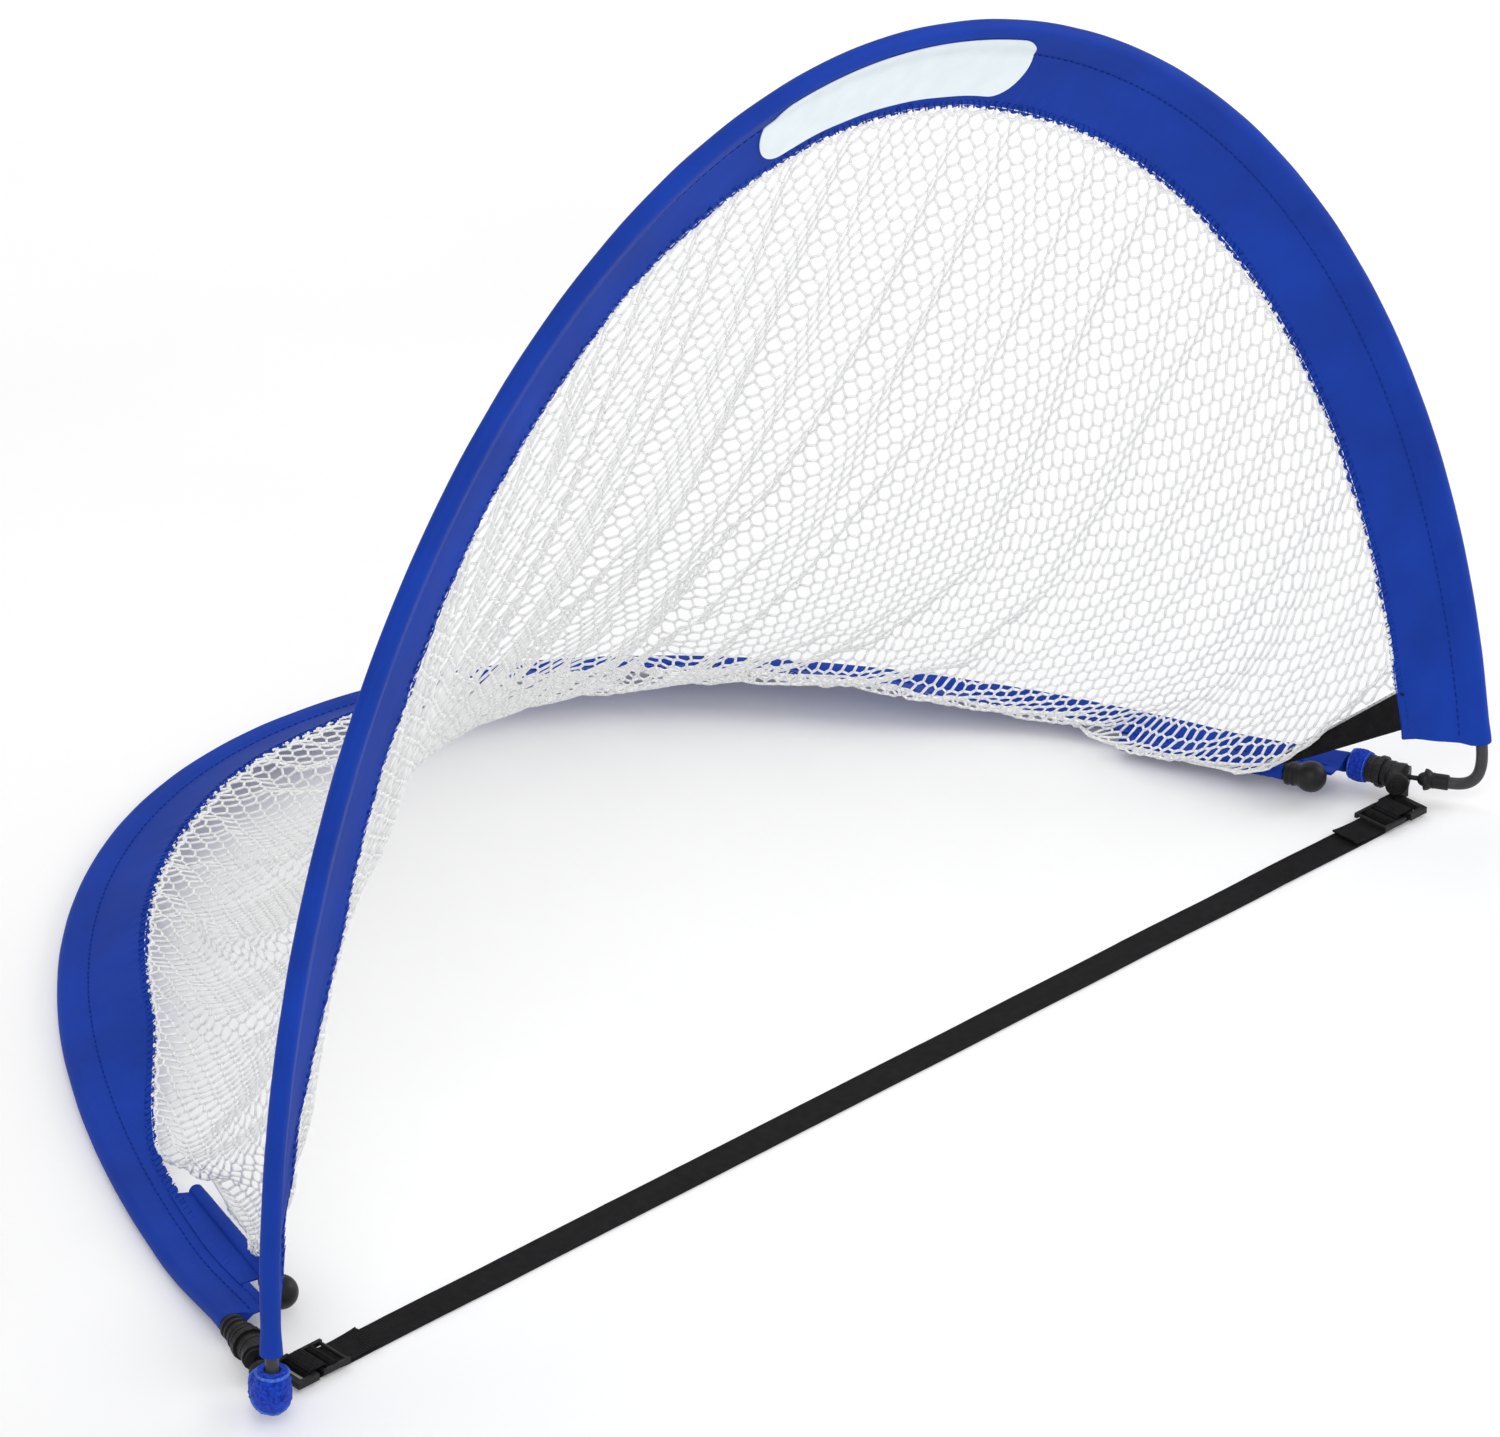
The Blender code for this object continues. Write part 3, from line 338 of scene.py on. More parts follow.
def arc(centre, radii, first, second, angles):
    """Points about a centre at angles measured from the first axis to the second."""
    radii = np.broadcast_to(radii, (len(angles),))
    return [centre + radius * (cos(angle) * first + sin(angle) * second)
            for radius, angle in zip(radii, angles)]


def full_turn(sides):
    return [2 * pi * k / sides for k in range(sides)]


def cross_axes(points):
    """Two axes across a line at each point, carried along without twisting."""
    ways = tangents(points)
    first = np.cross(ways[0], [0, 0, 1.0])
    if norm(first) <= 0.1:
        first = np.cross(ways[0], [0, 1.0, 0])
    axes = []
    for way in ways:
        first = unit(first - way * (first @ way))
        axes.append((first, np.cross(way, first)))
    return axes


def tube(name, points, radius, material, sides=20):
    angles = full_turn(sides)
    rings = [arc(point, radius, *axes, angles) for point, axes in zip(points, cross_axes(points))]
    return make(name, *rings_mesh(rings), material)


def hollow(name, points, outer, inner, material, sides=20, rough=None):
    """A sleeve along a line; rough(i, k) is the outside's relative roughness."""
    points = np.asarray(points, float)
    outer = np.broadcast_to(outer, (len(points),))
    axes, angles = cross_axes(points), full_turn(sides)
    rings = []
    for i, point in enumerate(points):
        radii = [outer[i] * (1 + (rough(i, k) if rough else 0)) for k in range(sides)]
        rings.append(arc(point, radii, *axes[i], angles))
    for point, pair in list(zip(points, axes))[::-1]:
        rings.append(arc(point, inner, *pair, angles))
    return make(name, *rings_mesh(rings, closed=True), material)


def bumpy(seed, amount):
    return lambda i, k: amount * wobble(i * 0.9, k * 0.8, seed)


def turned(name, profile, origin, axis, material, sides=32):
    """Lathe a profile of (distance along the axis, radius)."""
    origin, axis = np.asarray(origin, float), unit(axis)
    first = unit(np.cross(axis, [0, 0, 1.0]))
    second = np.cross(axis, first)
    angles = full_turn(sides)
    rings = [arc(origin + axis * along, max(radius, 1e-5), first, second, angles)
             for along, radius in profile]
    return make(name, *rings_mesh(rings), material, sharp=32)


def cords(name, segments, radius, material):
    """Closed four sided prisms along straight segments, an (n, 2, 3) array."""
    segments = np.asarray(segments, float)
    start, end = segments[:, 0], segments[:, 1]
    way = end - start
    way /= np.maximum(norm(way, axis=1), 1e-9)[:, None]
    first = np.cross(way, UPRIGHT)
    first[norm(first, axis=1) < 0.1] = [1.0, 0, 0]
    first -= way * (first * way).sum(1)[:, None]
    first /= norm(first, axis=1)[:, None]
    second = np.cross(way, first)
    # run the ends on a little so that cords meet at the knots
    start, end = start - way * radius * 0.55, end + way * radius * 0.55
    count = len(segments)
    verts = np.zeros((count, 8, 3))
    for k, angle in enumerate(full_turn(4)):
        offset = radius * (cos(angle) * first + sin(angle) * second)
        verts[:, k], verts[:, 4 + k] = start + offset, end + offset
    quads = [(k, (k + 1) % 4, 4 + (k + 1) % 4, 4 + k) for k in range(4)]
    quads += [(3, 2, 1, 0), (4, 5, 6, 7)]
    base = (np.arange(count) * 8)[:, None, None]
    faces = (base + np.array(quads)[None]).reshape(-1, 4)
    mesh = bpy.data.meshes.new(name)
    mesh.vertices.add(count * 8)
    mesh.vertices.foreach_set("co", verts.astype(np.float32).ravel())
    mesh.loops.add(len(faces) * 4)
    mesh.loops.foreach_set("vertex_index", faces[:, ::-1].astype(np.int32).ravel())
    mesh.polygons.add(len(faces))
    mesh.polygons.foreach_set("loop_start", np.arange(0, len(faces) * 4, 4, dtype=np.int32))
    mesh.update(calc_edges=True)
    mesh.validate()
    mesh.materials.append(material)
    mesh.shade_smooth()
    return add_object(name, mesh)


def soften(node_name, width):
    """Give a CAD moulding the plastic and softened edges."""
    body = frame["nodes"][node_name]
    body.data.materials.clear()
    body.data.materials.append(PLASTIC)
    bevel = body.modifiers.new("soft", "BEVEL")
    bevel.width = width
    bevel.segments = 2
    bevel.limit_method = "ANGLE"
    bevel.angle_limit = radians(38)


# ------------------------------------------------------------------ how the cloth folds
def over_pegs(x, angle, reach, weight):
    """Lower the fold's share where the folded cloth would lie through a peg or its grip."""
    way_x, way_y = -sin(PEG_TURN), cos(PEG_TURN)
    for _ in range(3):
        folded = angle - weight * FOLD_ANGLE
        height = HINGE_Z + reach * np.sin(folded)
        off_x = np.abs(x) - PEG_X
        off_y = HINGE_Y + reach * np.cos(folded) - PEG_Y
        along = off_x * way_x + off_y * way_y
        beside = np.abs(off_x * way_y - off_y * way_x)
        axis_z = PEG_Z - along * tan(PEG_SLOPE)
        shaft = np.hypot(beside, np.maximum(0, np.maximum(-0.155 - along, along - 0.150)))
        grip = np.hypot(beside, np.maximum(0, np.maximum(-along, along - 0.018)))
        # height to clear, falling away beside the shaft and the wider grip
        need = np.maximum(axis_z + 0.0080 - 1.1 * np.maximum(0, shaft - 0.0050),
                          axis_z + 0.0158 - 1.1 * np.maximum(0, grip - 0.0130))
        sine = np.clip((need - HINGE_Z) / np.maximum(reach, 1e-3), -1, 1)
        rest = np.minimum(np.arcsin(sine), radians(38))
        held = np.clip(np.minimum(weight, (angle - rest) / FOLD_ANGLE), 0, 1)
        weight = np.where(height < need, held, weight)
    return weight


def fold_weights(mesh):
    """The cloth closes like a fan: a point's share of the fold is its angle about the hinge."""
    places = np.zeros(len(mesh.vertices) * 3, np.float32)
    mesh.vertices.foreach_get("co", places)
    places = places.reshape(-1, 3).astype(float)
    y, z = places[:, 1] - HINGE_Y, places[:, 2] - HINGE_Z
    angle, reach = np.arctan2(z, y), np.hypot(y, z)
    low, high = radians(2.2), radians(90.0) - 0.02
    weight = np.clip((angle - low) / (high - low), 0, 1) * smooth(reach / 0.03)
    weight = over_pegs(places[:, 0], angle, reach, weight)
    mesh.attributes["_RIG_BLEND"].data.foreach_set("value", weight.astype(np.float32))


def blend_fold(obj, slot, *nodes):
    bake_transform(obj, "ground_frame", "front_arch", (0, 0.6, 0.0), (0, 0.0, 0.6))
    fold_weights(obj.data)
    if nodes:
        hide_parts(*nodes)


# ------------------------------------------------------------------ sleeves
CLOTH_HALF = 0.0006  # half the flap's thickness
NECK = 0.0175  # the channel's cloth runs in to the stitch line here
STITCH_LINE, HEM = 0.0180, 0.0055
SLEEVE_STEP = 0.0034
CHANNEL_R, BORE_R = 0.0068, 0.0058
CHANNEL_ANGLES = np.linspace(1.05, 2 * pi - 1.05, 15)  # measured from the flap


def creases(along, total, reach, seed):
    """How far the flap stands off flat: slack folds, stronger and slanting near the ends."""
    end = 1 - float(smooth(min(along, total - along) / 0.22))
    share = float(smooth((reach - 0.010) / 0.03))
    rise = 0.0016 * wobble(along * 7, reach * 12, seed)
    rise += 0.0008 * wobble(along * 26, reach * 30, seed + 3)
    rise += end * 0.0042 * wobble(along * 22 - reach * 38, reach * 16 + along * 3, seed + 7)
    return share * rise


class Sleeve:
    """A pole channel with a flat flap to the inside of the arch, where the net is sewn."""

    def __init__(self, curve, total, start, plane_normal, middle, tilt, width, seed, slide=0.0):
        """tilt and width take distance along and distance from the nearer end.

        slide pushes the flap along the pole, away from each end.
        """
        self.along = np.linspace(0, total, int(total / SLEEVE_STEP))
        self.total, self.seed, self.normal = total, seed, plane_normal
        self.points = resample(curve, self.along + start)
        self.inner = inward(self.points, plane_normal, middle)
        near = np.minimum(self.along, total - self.along)
        self.tilt, self.width = tilt(self.along, near), width(self.along, near)
        ends = (1 - smooth(self.along / 0.22)) - (1 - smooth((total - self.along) / 0.22))
        self.shift = tangents(self.points) * (slide * ends)[:, None]

    def near(self, i):
        return min(self.along[i], self.total - self.along[i])

    def axes(self, i):
        """Along the flap and square to it."""
        tilt, inner, normal = self.tilt[i], self.inner[i], self.normal
        return (cos(tilt) * inner + sin(tilt) * normal, -sin(tilt) * inner + cos(tilt) * normal)

    def at(self, i, reach, off):
        """A point at a reach from the pole's axis and an offset from the flap's middle."""
        flap, square = self.axes(i)
        slid = self.shift[i] * max(0.0, (reach - SLEEVE_R) / (FLAP - SLEEVE_R))
        off = off + creases(self.along[i], self.total, reach, self.seed)
        return self.points[i] + reach * flap + slid + off * square

    def wavy_width(self, i):
        """The flap's width with the ripple of its edge."""
        along = self.along[i]
        share = float(smooth((self.near(i) - 0.05) / 0.06))
        wave = 0.0013 * share * sin(2 * pi * along / 0.0135)
        wave += 0.0022 * (0.3 + 0.7 * share) * wobble(along * 11, 0, self.seed)
        return self.width[i] + wave

    def build(self, name):
        rows, bores = [], []
        for i, along in enumerate(self.along):
            point, axes = self.points[i], self.axes(i)
            flare = 1.0 + 0.14 * (1 - float(smooth(self.near(i) / 0.02)))
            radii = [CHANNEL_R * flare * (1 + 0.05 * wobble(along * 24, angle * 1.5, self.seed))
                     for angle in CHANNEL_ANGLES]
            width = self.wavy_width(i)
            reaches = np.concatenate([[0.0105, 0.0140], np.linspace(NECK, width, 9)])
            halves = [CLOTH_HALF + (0.0006 if reach > width - 0.006 else 0.0)
                      + (0.0040 * ((NECK - reach) / 0.0070) if reach < NECK else 0.0)
                      for reach in reaches]
            flap = list(zip(reaches, halves))
            ring = arc(point, radii, *axes, CHANNEL_ANGLES)
            ring += [self.at(i, reach, -half) for reach, half in flap]
            ring += [self.at(i, reach, half) for reach, half in flap[::-1]]
            rows.append(ring)
            bores.append(arc(point, BORE_R * flare, *axes, CHANNEL_ANGLES))
        return make(name, *rings_mesh(rows, bores), BLUE, sharp=75)

    def stitches(self, name, reaches):
        """A line of stitches standing just proud of both faces."""
        segments = [(self.at(i, reaches[i], face), self.at(i + 1, reaches[i + 1], face))
                    for i in range(2, len(self.along) - 3, 2) for face in (-0.0011, 0.0011)]
        return cords(name, segments, 0.0004, THREAD)

    def whip(self, name, start, end):
        """Overlock thread that whips the net's edge to the flap."""
        step = self.along[1] - self.along[0]
        segments = []
        for station in np.arange(start, end, 0.0062):
            i = int(station / step)
            j = min(i + 1, len(self.along) - 1)
            for face in (-0.0014, 0.0014):
                segments.append((self.at(i, self.width[i] - 0.0042, face),
                                 self.at(j, self.width[j] + 0.0006, face * 0.8)))
        return cords(name, segments, 0.00055, THREAD)

    def net_edge(self, stations, extra):
        step = self.along[1] - self.along[0]
        index = np.clip(np.round(stations / step).astype(int), 0, len(self.along) - 1)
        extra = np.broadcast_to(extra, index.shape)
        return np.array([self.at(i, self.width[i] + e, 0.0) for i, e in zip(index, extra)])


# the front flap is steeper and narrower towards the left foot
def front_tilt(along, near):
    return FLAP_TILT + radians(15) * (1 - smooth(along / 0.30))


def front_width(along, near):
    return FLAP - 0.0195 * (1 - smooth(along / 0.30))


# the ground flap is flatter and narrower towards both ends
def ground_tilt(along, near):
    return radians(8) + radians(17) * smooth((near + CUFF - 0.20) / 0.30)


def ground_width(along, near):
    return FLAP_END + (FLAP - FLAP_END) * smooth((near + CUFF - 0.24) / 0.20)


front_line = front_curve(0.058)
front = Sleeve(front_line, length(front_line), 0.0, ARCH_BACK, ARCH_FOOT + 0.3 * ARCH_UP,
               front_tilt, front_width, seed=11.0, slide=0.020)
back = Sleeve(ground, GROUND_LENGTH - 2 * CUFF, CUFF, UPRIGHT, np.array([0.0, 0.05, 0.0]),
              ground_tilt, ground_width, seed=37.0)
SLEEVES = ((front, "front", "front_arch", "front_arch_sleeve"),
           (back, "ground", "ground_frame", "ground_arch_sleeve"))
for sleeve, word, body, node in SLEEVES:
    put(sleeve.build(f"sleeve_{word}"), body, "sleeve_polyester", node)
for sleeve, word, body, node in SLEEVES:
    stitch_lines = (("pole", np.full(len(sleeve.along), STITCH_LINE)),
                    ("hem", sleeve.width - HEM))
    for line, reaches in stitch_lines:
        put(sleeve.stitches(f"stitch_{word}_{line}", reaches), body, "sleeve_polyester")

# ------------------------------------------------------------------ badge
BADGE_X, BADGE_REACH = 0.040, 0.0298  # its middle: across the goal, and out from the pole
BADGE_HALF_LENGTH, BADGE_HALF_HEIGHT = 0.1375, 0.0256
BADGE_THICK = 0.0006
# reach from the pole's axis, and the outer cloth face's offset there
SLEEVE_FACE = ((0.0, 0.0034, 0.0105, 0.0140, 0.0175, 0.07),
               (-0.0072, -0.0063, -0.0049, -0.0029, -0.0009, -0.0009))


def build_badge():
    """A plain panel with round ends, lying on the front sleeve's outer face."""
    middle = int(np.argmin(np.abs(front.points[:, 0] - BADGE_X)))
    half = int(BADGE_HALF_LENGTH / (front.along[1] - front.along[0]))

    def badge_point(station, reach, raised):
        i = int(station)
        off = float(np.interp(reach, *SLEEVE_FACE)) - raised
        share = station - i
        return front.at(i, reach, off) * (1 - share) + front.at(i + 1, reach, off) * share

    rings = []
    for part in np.sin(np.linspace(-pi / 2, pi / 2, 91)):
        station = middle + part * half
        straight = BADGE_HALF_LENGTH - BADGE_HALF_HEIGHT
        over = max(0.0, abs(part) * BADGE_HALF_LENGTH - straight)
        height = sqrt(max(BADGE_HALF_HEIGHT**2 - over**2, 1e-8))
        reaches = np.linspace(BADGE_REACH - height, BADGE_REACH + height, 15)
        rings.append([badge_point(station, reach, 0.0) for reach in reaches]
                     + [badge_point(station, reach, BADGE_THICK) for reach in reaches[::-1]])
    return make("badge", *rings_mesh(rings), BADGE, sharp=60)


put(build_badge(), "front_arch", "badge_print", "badge_panel")

# ------------------------------------------------------------------ net surface
NU, NV = 96, 34  # cells across the goal, and from the front arch to the ground arch
FU, FV = NU * 4, NV * 4
FINE_U, FINE_V = np.arange(FU + 1), np.arange(FV + 1)
top_stations = np.linspace(0.043, front.total - 0.043, NU + 1)
low_stations = np.linspace(0.058, back.total - 0.058, NU + 1)


def slack_grid():
    """A surface hung between the two sleeves' flaps, sagging down and forward."""
    top_edge = front.net_edge(top_stations, -0.001)
    near_end = np.minimum(low_stations, back.total - low_stations) + CUFF
    low_edge = back.net_edge(low_stations, -0.001 + 0.027 * (1 - smooth((near_end - 0.226) / 0.034)))
    low_edge[:, 2] = np.maximum(low_edge[:, 2], 0.004)
    grid = np.zeros((NU + 1, NV + 1, 3))
    for i in range(NU + 1):
        for j in range(NV + 1):
            v = j / NV
            sag = 0.055 * sin(pi * (i / NU)) ** 0.7 * sin(pi * v)
            place = (1 - v) * top_edge[i] + v * low_edge[i]
            grid[i, j] = place + sag * np.array([0, -0.75, -0.5])
            grid[i, j, 2] = max(grid[i, j, 2], 0.004)
    return grid


def settle(grid):
    """Let the surface hang as cloth pinned round its edge, above a ground plate."""
    verts = grid.reshape(-1, 3)
    rng = np.random.default_rng(4)
    pinned = np.zeros((NU + 1, NV + 1), bool)
    pinned[:, 0] = pinned[:, -1] = pinned[0, :] = pinned[-1, :] = True
    pinned = pinned.reshape(-1)
    start = verts + np.where(pinned[:, None], 0, rng.normal(0, 0.0006, verts.shape))
    row = NV + 1
    faces = [(i * row + j, i * row + j + 1, (i + 1) * row + j + 1, (i + 1) * row + j)
             for i in range(NU) for j in range(NV)]
    mesh = bpy.data.meshes.new("net_sheet")
    mesh.from_pydata(start.tolist(), [], faces)
    sheet = add_object("net_sheet", mesh)
    pins = sheet.vertex_groups.new(name="pin")
    pins.add([int(k) for k in np.flatnonzero(pinned)], 1.0, "REPLACE")
    cloth = sheet.modifiers.new("Cloth", "CLOTH")
    settings = cloth.settings
    settings.quality = 6
    settings.mass = 0.12
    settings.tension_stiffness = settings.compression_stiffness = 6
    settings.shear_stiffness = 1.0
    settings.bending_stiffness = 0.02
    settings.vertex_group_mass = "pin"
    settings.shrink_min = -0.035
    settings.air_damping = 2.0
    cloth.collision_settings.distance_min = 0.002
    cloth.point_cache.frame_end = 45
    bpy.ops.mesh.primitive_plane_add(size=4, location=(0, 0, 0.0))
    plate = bpy.context.object
    plate.modifiers.new("Collision", "COLLISION")
    plate.collision.thickness_outer = 0.002
    scene = bpy.context.scene
    for number in range(1, 46):
        scene.frame_set(number)
    hung = sheet.evaluated_get(bpy.context.evaluated_depsgraph_get()).to_mesh()
    places = np.zeros(len(hung.vertices) * 3, np.float32)
    hung.vertices.foreach_get("co", places)
    settled = places.reshape(NU + 1, NV + 1, 3).astype(float)
    # keep the slack surface if the cloth has blown up
    if np.isfinite(settled).all() and np.abs(settled).max() < 2:
        grid = settled
    bpy.data.objects.remove(sheet)
    bpy.data.objects.remove(plate)
    scene.frame_set(1)
    return grid


def cubic(rows, t):
    """Catmull-Rom between rows at positions t."""
    last = len(rows) - 1
    k = np.clip(np.floor(t).astype(int), 0, last - 1)
    f = (t - k)[:, None]
    p0, p1 = rows[np.maximum(k - 1, 0)], rows[k]
    p2, p3 = rows[k + 1], rows[np.minimum(k + 2, last)]
    return 0.5 * (2 * p1 + (p2 - p0) * f + (2 * p0 - 5 * p1 + 4 * p2 - p3) * f**2
                  + (3 * p1 - p0 - 3 * p2 + p3) * f**3)


def refine(grid):
    across, down = np.linspace(0, NU, FU + 1), np.linspace(0, NV, FV + 1)
    fine = np.stack([cubic(grid[:, j], across) for j in range(NV + 1)], axis=1)
    return np.stack([cubic(fine[i], down) for i in range(FU + 1)], axis=0)


def clear_pockets(fine):
    """Keep the net outside the peg pockets, which it lies over."""
    for side, _ in SIDES:
        start, run = peg_start(side), peg_run(side)
        offset = fine - start
        along = np.clip(offset @ run, 0.0, 0.160)
        away = offset - along[..., None] * run
        gap = norm(away, axis=2)
        # points under the axis go round to the upper side, so no cord passes below the pocket
        away[..., 2] = np.abs(away[..., 2]) + 0.0006
        away = away / np.maximum(norm(away, axis=2), 1e-6)[..., None]
        clear = np.where(along < 0.024, 0.0150, 0.0092)
        near = gap < clear
        base = start + along[..., None] * run
        fine[near] = (base + away * clear[..., None])[near]


net_grid = slack_grid()
net_grid = settle(net_grid)
net_grid[:, :, 2] = np.maximum(net_grid[:, :, 2], 0.0022)
fine = refine(net_grid)
clear_pockets(fine)
steps_down = np.cumsum(norm(np.diff(fine, axis=1), axis=2), axis=1)
down = np.concatenate([np.zeros((FU + 1, 1)), steps_down], axis=1)
fall = down[:, -1]
NET_WIDTH = float(norm(np.diff(fine[:, 0], axis=0), axis=1).sum())

# ------------------------------------------------------------------ net cords
MESH_ACROSS, MESH_DOWN = 0.0135, 0.0118  # hexagon pitch across, and one row down
CORD_R, SELVEDGE_R = 0.00108, 0.0013


def fall_at(x):
    """The net's length from front to ground at x metres along its front edge."""
    return np.interp(x / NET_WIDTH * FU, FINE_U, fall)


def on_net(x, drop):
    """The net's point at x metres along the front edge and drop metres down from it."""
    i = np.clip(x / NET_WIDTH * FU, 0, FU - 1e-6)
    i0 = i.astype(int)
    f = (i - i0)[:, None]
    share = np.clip(drop / fall_at(x), 0, 1)
    sides = []
    for k in (i0, i0 + 1):
        j = np.array([np.interp(d, down[column], FINE_V) for d, column in zip(share * fall[k], k)])
        j = np.clip(j, 0, FV - 1e-6)
        j0 = j.astype(int)
        g = (j - j0)[:, None]
        sides.append((1 - g) * fine[k, j0] + g * fine[k, j0 + 1])
    return (1 - f) * sides[0] + f * sides[1]


def hexagons():
    """Flat cord segments as (x, drop) pairs, trimmed to the net."""
    columns = int(NET_WIDTH / MESH_ACROSS)
    strands = []
    for row in range(int(max(fall) / MESH_DOWN) + 2):
        top = row * MESH_DOWN
        x = np.arange(columns + 1) * MESH_ACROSS + 0.5 * MESH_ACROSS * (row % 2)
        knot = np.stack([x, 0 * x + top + 0.50 * MESH_DOWN], 1)
        # a hexagon's upright strand, then the two slanting strands below it
        strands.append(np.stack([np.stack([x, 0 * x + top], 1), knot], 1))
        for lean in (-0.5, 0.5):
            foot = np.stack([x + lean * MESH_ACROSS, 0 * x + top + MESH_DOWN], 1)
            strands.append(np.stack([knot, foot], 1))
    flat = np.concatenate(strands)
    flat = flat[(flat[:, :, 0] >= 0).all(1) & (flat[:, :, 0] <= NET_WIDTH).all(1)]
    flat = flat[flat[:, 0, 1] < fall_at(flat[:, 0, 0]) - 0.001]
    flat[:, :, 1] = np.minimum(flat[:, :, 1], fall_at(flat[:, :, 0]))
    return flat


def build_cords():
    """The net's cords, in four objects from left to right."""
    flat = hexagons()
    start, end = on_net(*flat[:, 0].T), on_net(*flat[:, 1].T)
    keep = norm(start - end, axis=1) > 0.0008
    segments = np.stack([start, end], 1)[keep]
    quarter = np.clip((flat[keep, 0, 0] / NET_WIDTH * 4).astype(int), 0, 3)
    for k in range(4):
        obj = cords(f"net_cord_{k + 1}", segments[quarter == k], CORD_R, NET)
        blend_fold(obj, "net_cord", *(["net"] if k == 0 else []))


def build_selvedge():
    """A straight and a wavy cord along both long edges, and a straight one down each end."""
    def polyline(points):
        return list(zip(points[:-1], points[1:]))

    inset = (0.35 + 0.132 * np.sin(2 * pi * FINE_U / 4.3))[:, None]
    segments = []
    for edge, inner in ((0, 3), (FV, FV - 3)):
        segments += polyline(fine[:, edge])
        segments += polyline(fine[:, edge] + (fine[:, inner] - fine[:, edge]) * inset)
    for i in (0, FU):
        segments += polyline(fine[i, :])
    blend_fold(cords("net_selvedge", segments, SELVEDGE_R, NET), "net_cord")


build_cords()
build_selvedge()
put(front.whip("whip_front", top_stations[0], top_stations[-1]), "front_arch", "sleeve_polyester")
put(back.whip("whip_ground", low_stations[0], low_stations[-1]),
    "ground_frame", "sleeve_polyester")


# ------------------------------------------------------------------ gussets
def patch(name, near_top, far_top, far_low, near_low, seed, n=14, half=0.0006, sag=0.003):
    """A slack four cornered cloth with a thicker rim."""
    normal = unit(np.cross(far_low - far_top, near_top - far_top))
    top, bottom = [], []
    for i in range(n + 1):
        for j in range(n + 1):
            u, v = i / n, j / n
            place = (1 - u) * ((1 - v) * near_top + v * far_top)
            place = place + u * ((1 - v) * near_low + v * far_low)
            belly = sin(pi * u) * sin(pi * v)
            place = place + normal * (sag * belly + 0.004 * belly * wobble(u * 3, v * 4, seed))
            thick = half * (1.8 if min(i, j, n - i, n - j) == 0 else 1.0)
            top.append(place + normal * thick)
            bottom.append(place - normal * thick)
    m = n + 1
    under = m * m
    faces = []
    for i in range(n):
        for j in range(n):
            a = i * m + j
            faces.append((a, a + 1, a + m + 1, a + m))
            faces.append((under + a, under + a + m, under + a + m + 1, under + a + 1))
    rim = list(range(n)) + [i * m + n for i in range(n)]
    rim += [n * m + j for j in range(n, 0, -1)] + [i * m for i in range(n, 0, -1)]
    for a, b in zip(rim, rim[1:] + rim[:1]):
        faces.append((a, b, under + b, under + a))
    return make(name, top + bottom, faces, GUSSET, sharp=60)


def build_gusset(side, word):
    end = 0 if side < 0 else FU
    high, low = fine[end, 0].copy(), fine[end, FV].copy()
    foot = 3 if side < 0 else len(front.along) - 4
    near_top = front.at(foot, front.wavy_width(foot) - 0.003, 0.0)
    # the lower corner passes above the peg's grip, in the plane of the other three
    near_low = np.array([side * 0.5110, PEG_Y, 0.0420])
    face = unit(np.cross(low - high, near_top - high))
    near_low = near_low - face * ((near_low - high) @ face)
    obj = patch(f"gusset_{word}", near_top, high, low, near_low, seed=5.0 + side)
    blend_fold(obj, "gusset_cloth", f"corner_gusset_{word}")
    # heavy zigzag thread along the gusset's long edge
    inside = unit((near_top + near_low) / 2 - (high + low) / 2)
    raised = np.array([0, 0, 0.001])
    count = 26
    zigzag = []
    for k in range(count):
        start = high + (low - high) * k / count
        stop = high + (low - high) * (k + 1) / count
        peak = (start + stop) / 2 + inside * 0.007
        zigzag += [(start + raised, peak + raised), (peak + raised, stop + raised)]
    blend_fold(cords(f"gusset_lacing_{word}", zigzag, 0.0006, GUSSET), "gusset_cloth")


for side, word in SIDES:
    build_gusset(side, word)

# ------------------------------------------------------------------ poles
pole_line = front_curve(0.1304)
put(tube("pole_front", resample(pole_line, np.linspace(0, length(pole_line), 160)), POLE_R, POLE),
    "front_arch", "pole_grey", "front_arch_pole")
put(tube("pole_ground", resample(ground, np.linspace(0.004, GROUND_LENGTH - 0.004, 160)),
         POLE_R, POLE),
    "ground_frame", "pole_grey", "ground_arch_pole")


# ------------------------------------------------------------------ corners
def bend_path(side):
    """Down the leg's foot, then a cubic curve back into the hinge."""
    leg = front_curve(BEND_START)
    height = (leg - ARCH_FOOT) @ ARCH_UP
    part = leg[(height < 0.1296) & (leg[:, 0] * side > 0)]
    part = part[np.argsort(-((part - ARCH_FOOT) @ ARCH_UP))]
    start = resample(part, np.linspace(0, length(part), 14))
    knee = start[-1]
    way = to_back(side)
    end = pivot(side) - way * 0.0075
    straight = end - way * 0.0125
    control_1 = knee + unit(start[-1] - start[-2]) * 0.026
    control_2 = straight - way * 0.020
    t = np.linspace(0, 1, 37)[1:, None]
    curve = ((1 - t) ** 3 * knee + 3 * (1 - t) ** 2 * t * control_1
             + 3 * (1 - t) * t**2 * control_2 + t**3 * straight)
    return np.concatenate([start, curve, [straight + (end - straight) * 0.5, end]])


def build_bend(side, word, path):
    put(tube(f"bend_{word}", path, POLE_R, POLE), "front_arch", "pole_grey",
        f"corner_bend_{word}")
    splice = resample(front_curve(0.100), np.linspace(0, 0.06, 8)) * [-side, 1, 1]
    put(hollow(f"bend_splice_{word}", splice, 0.0059, 0.0050, POLE),
        "front_arch", "pole_grey", f"bend_ferrule_{word}")


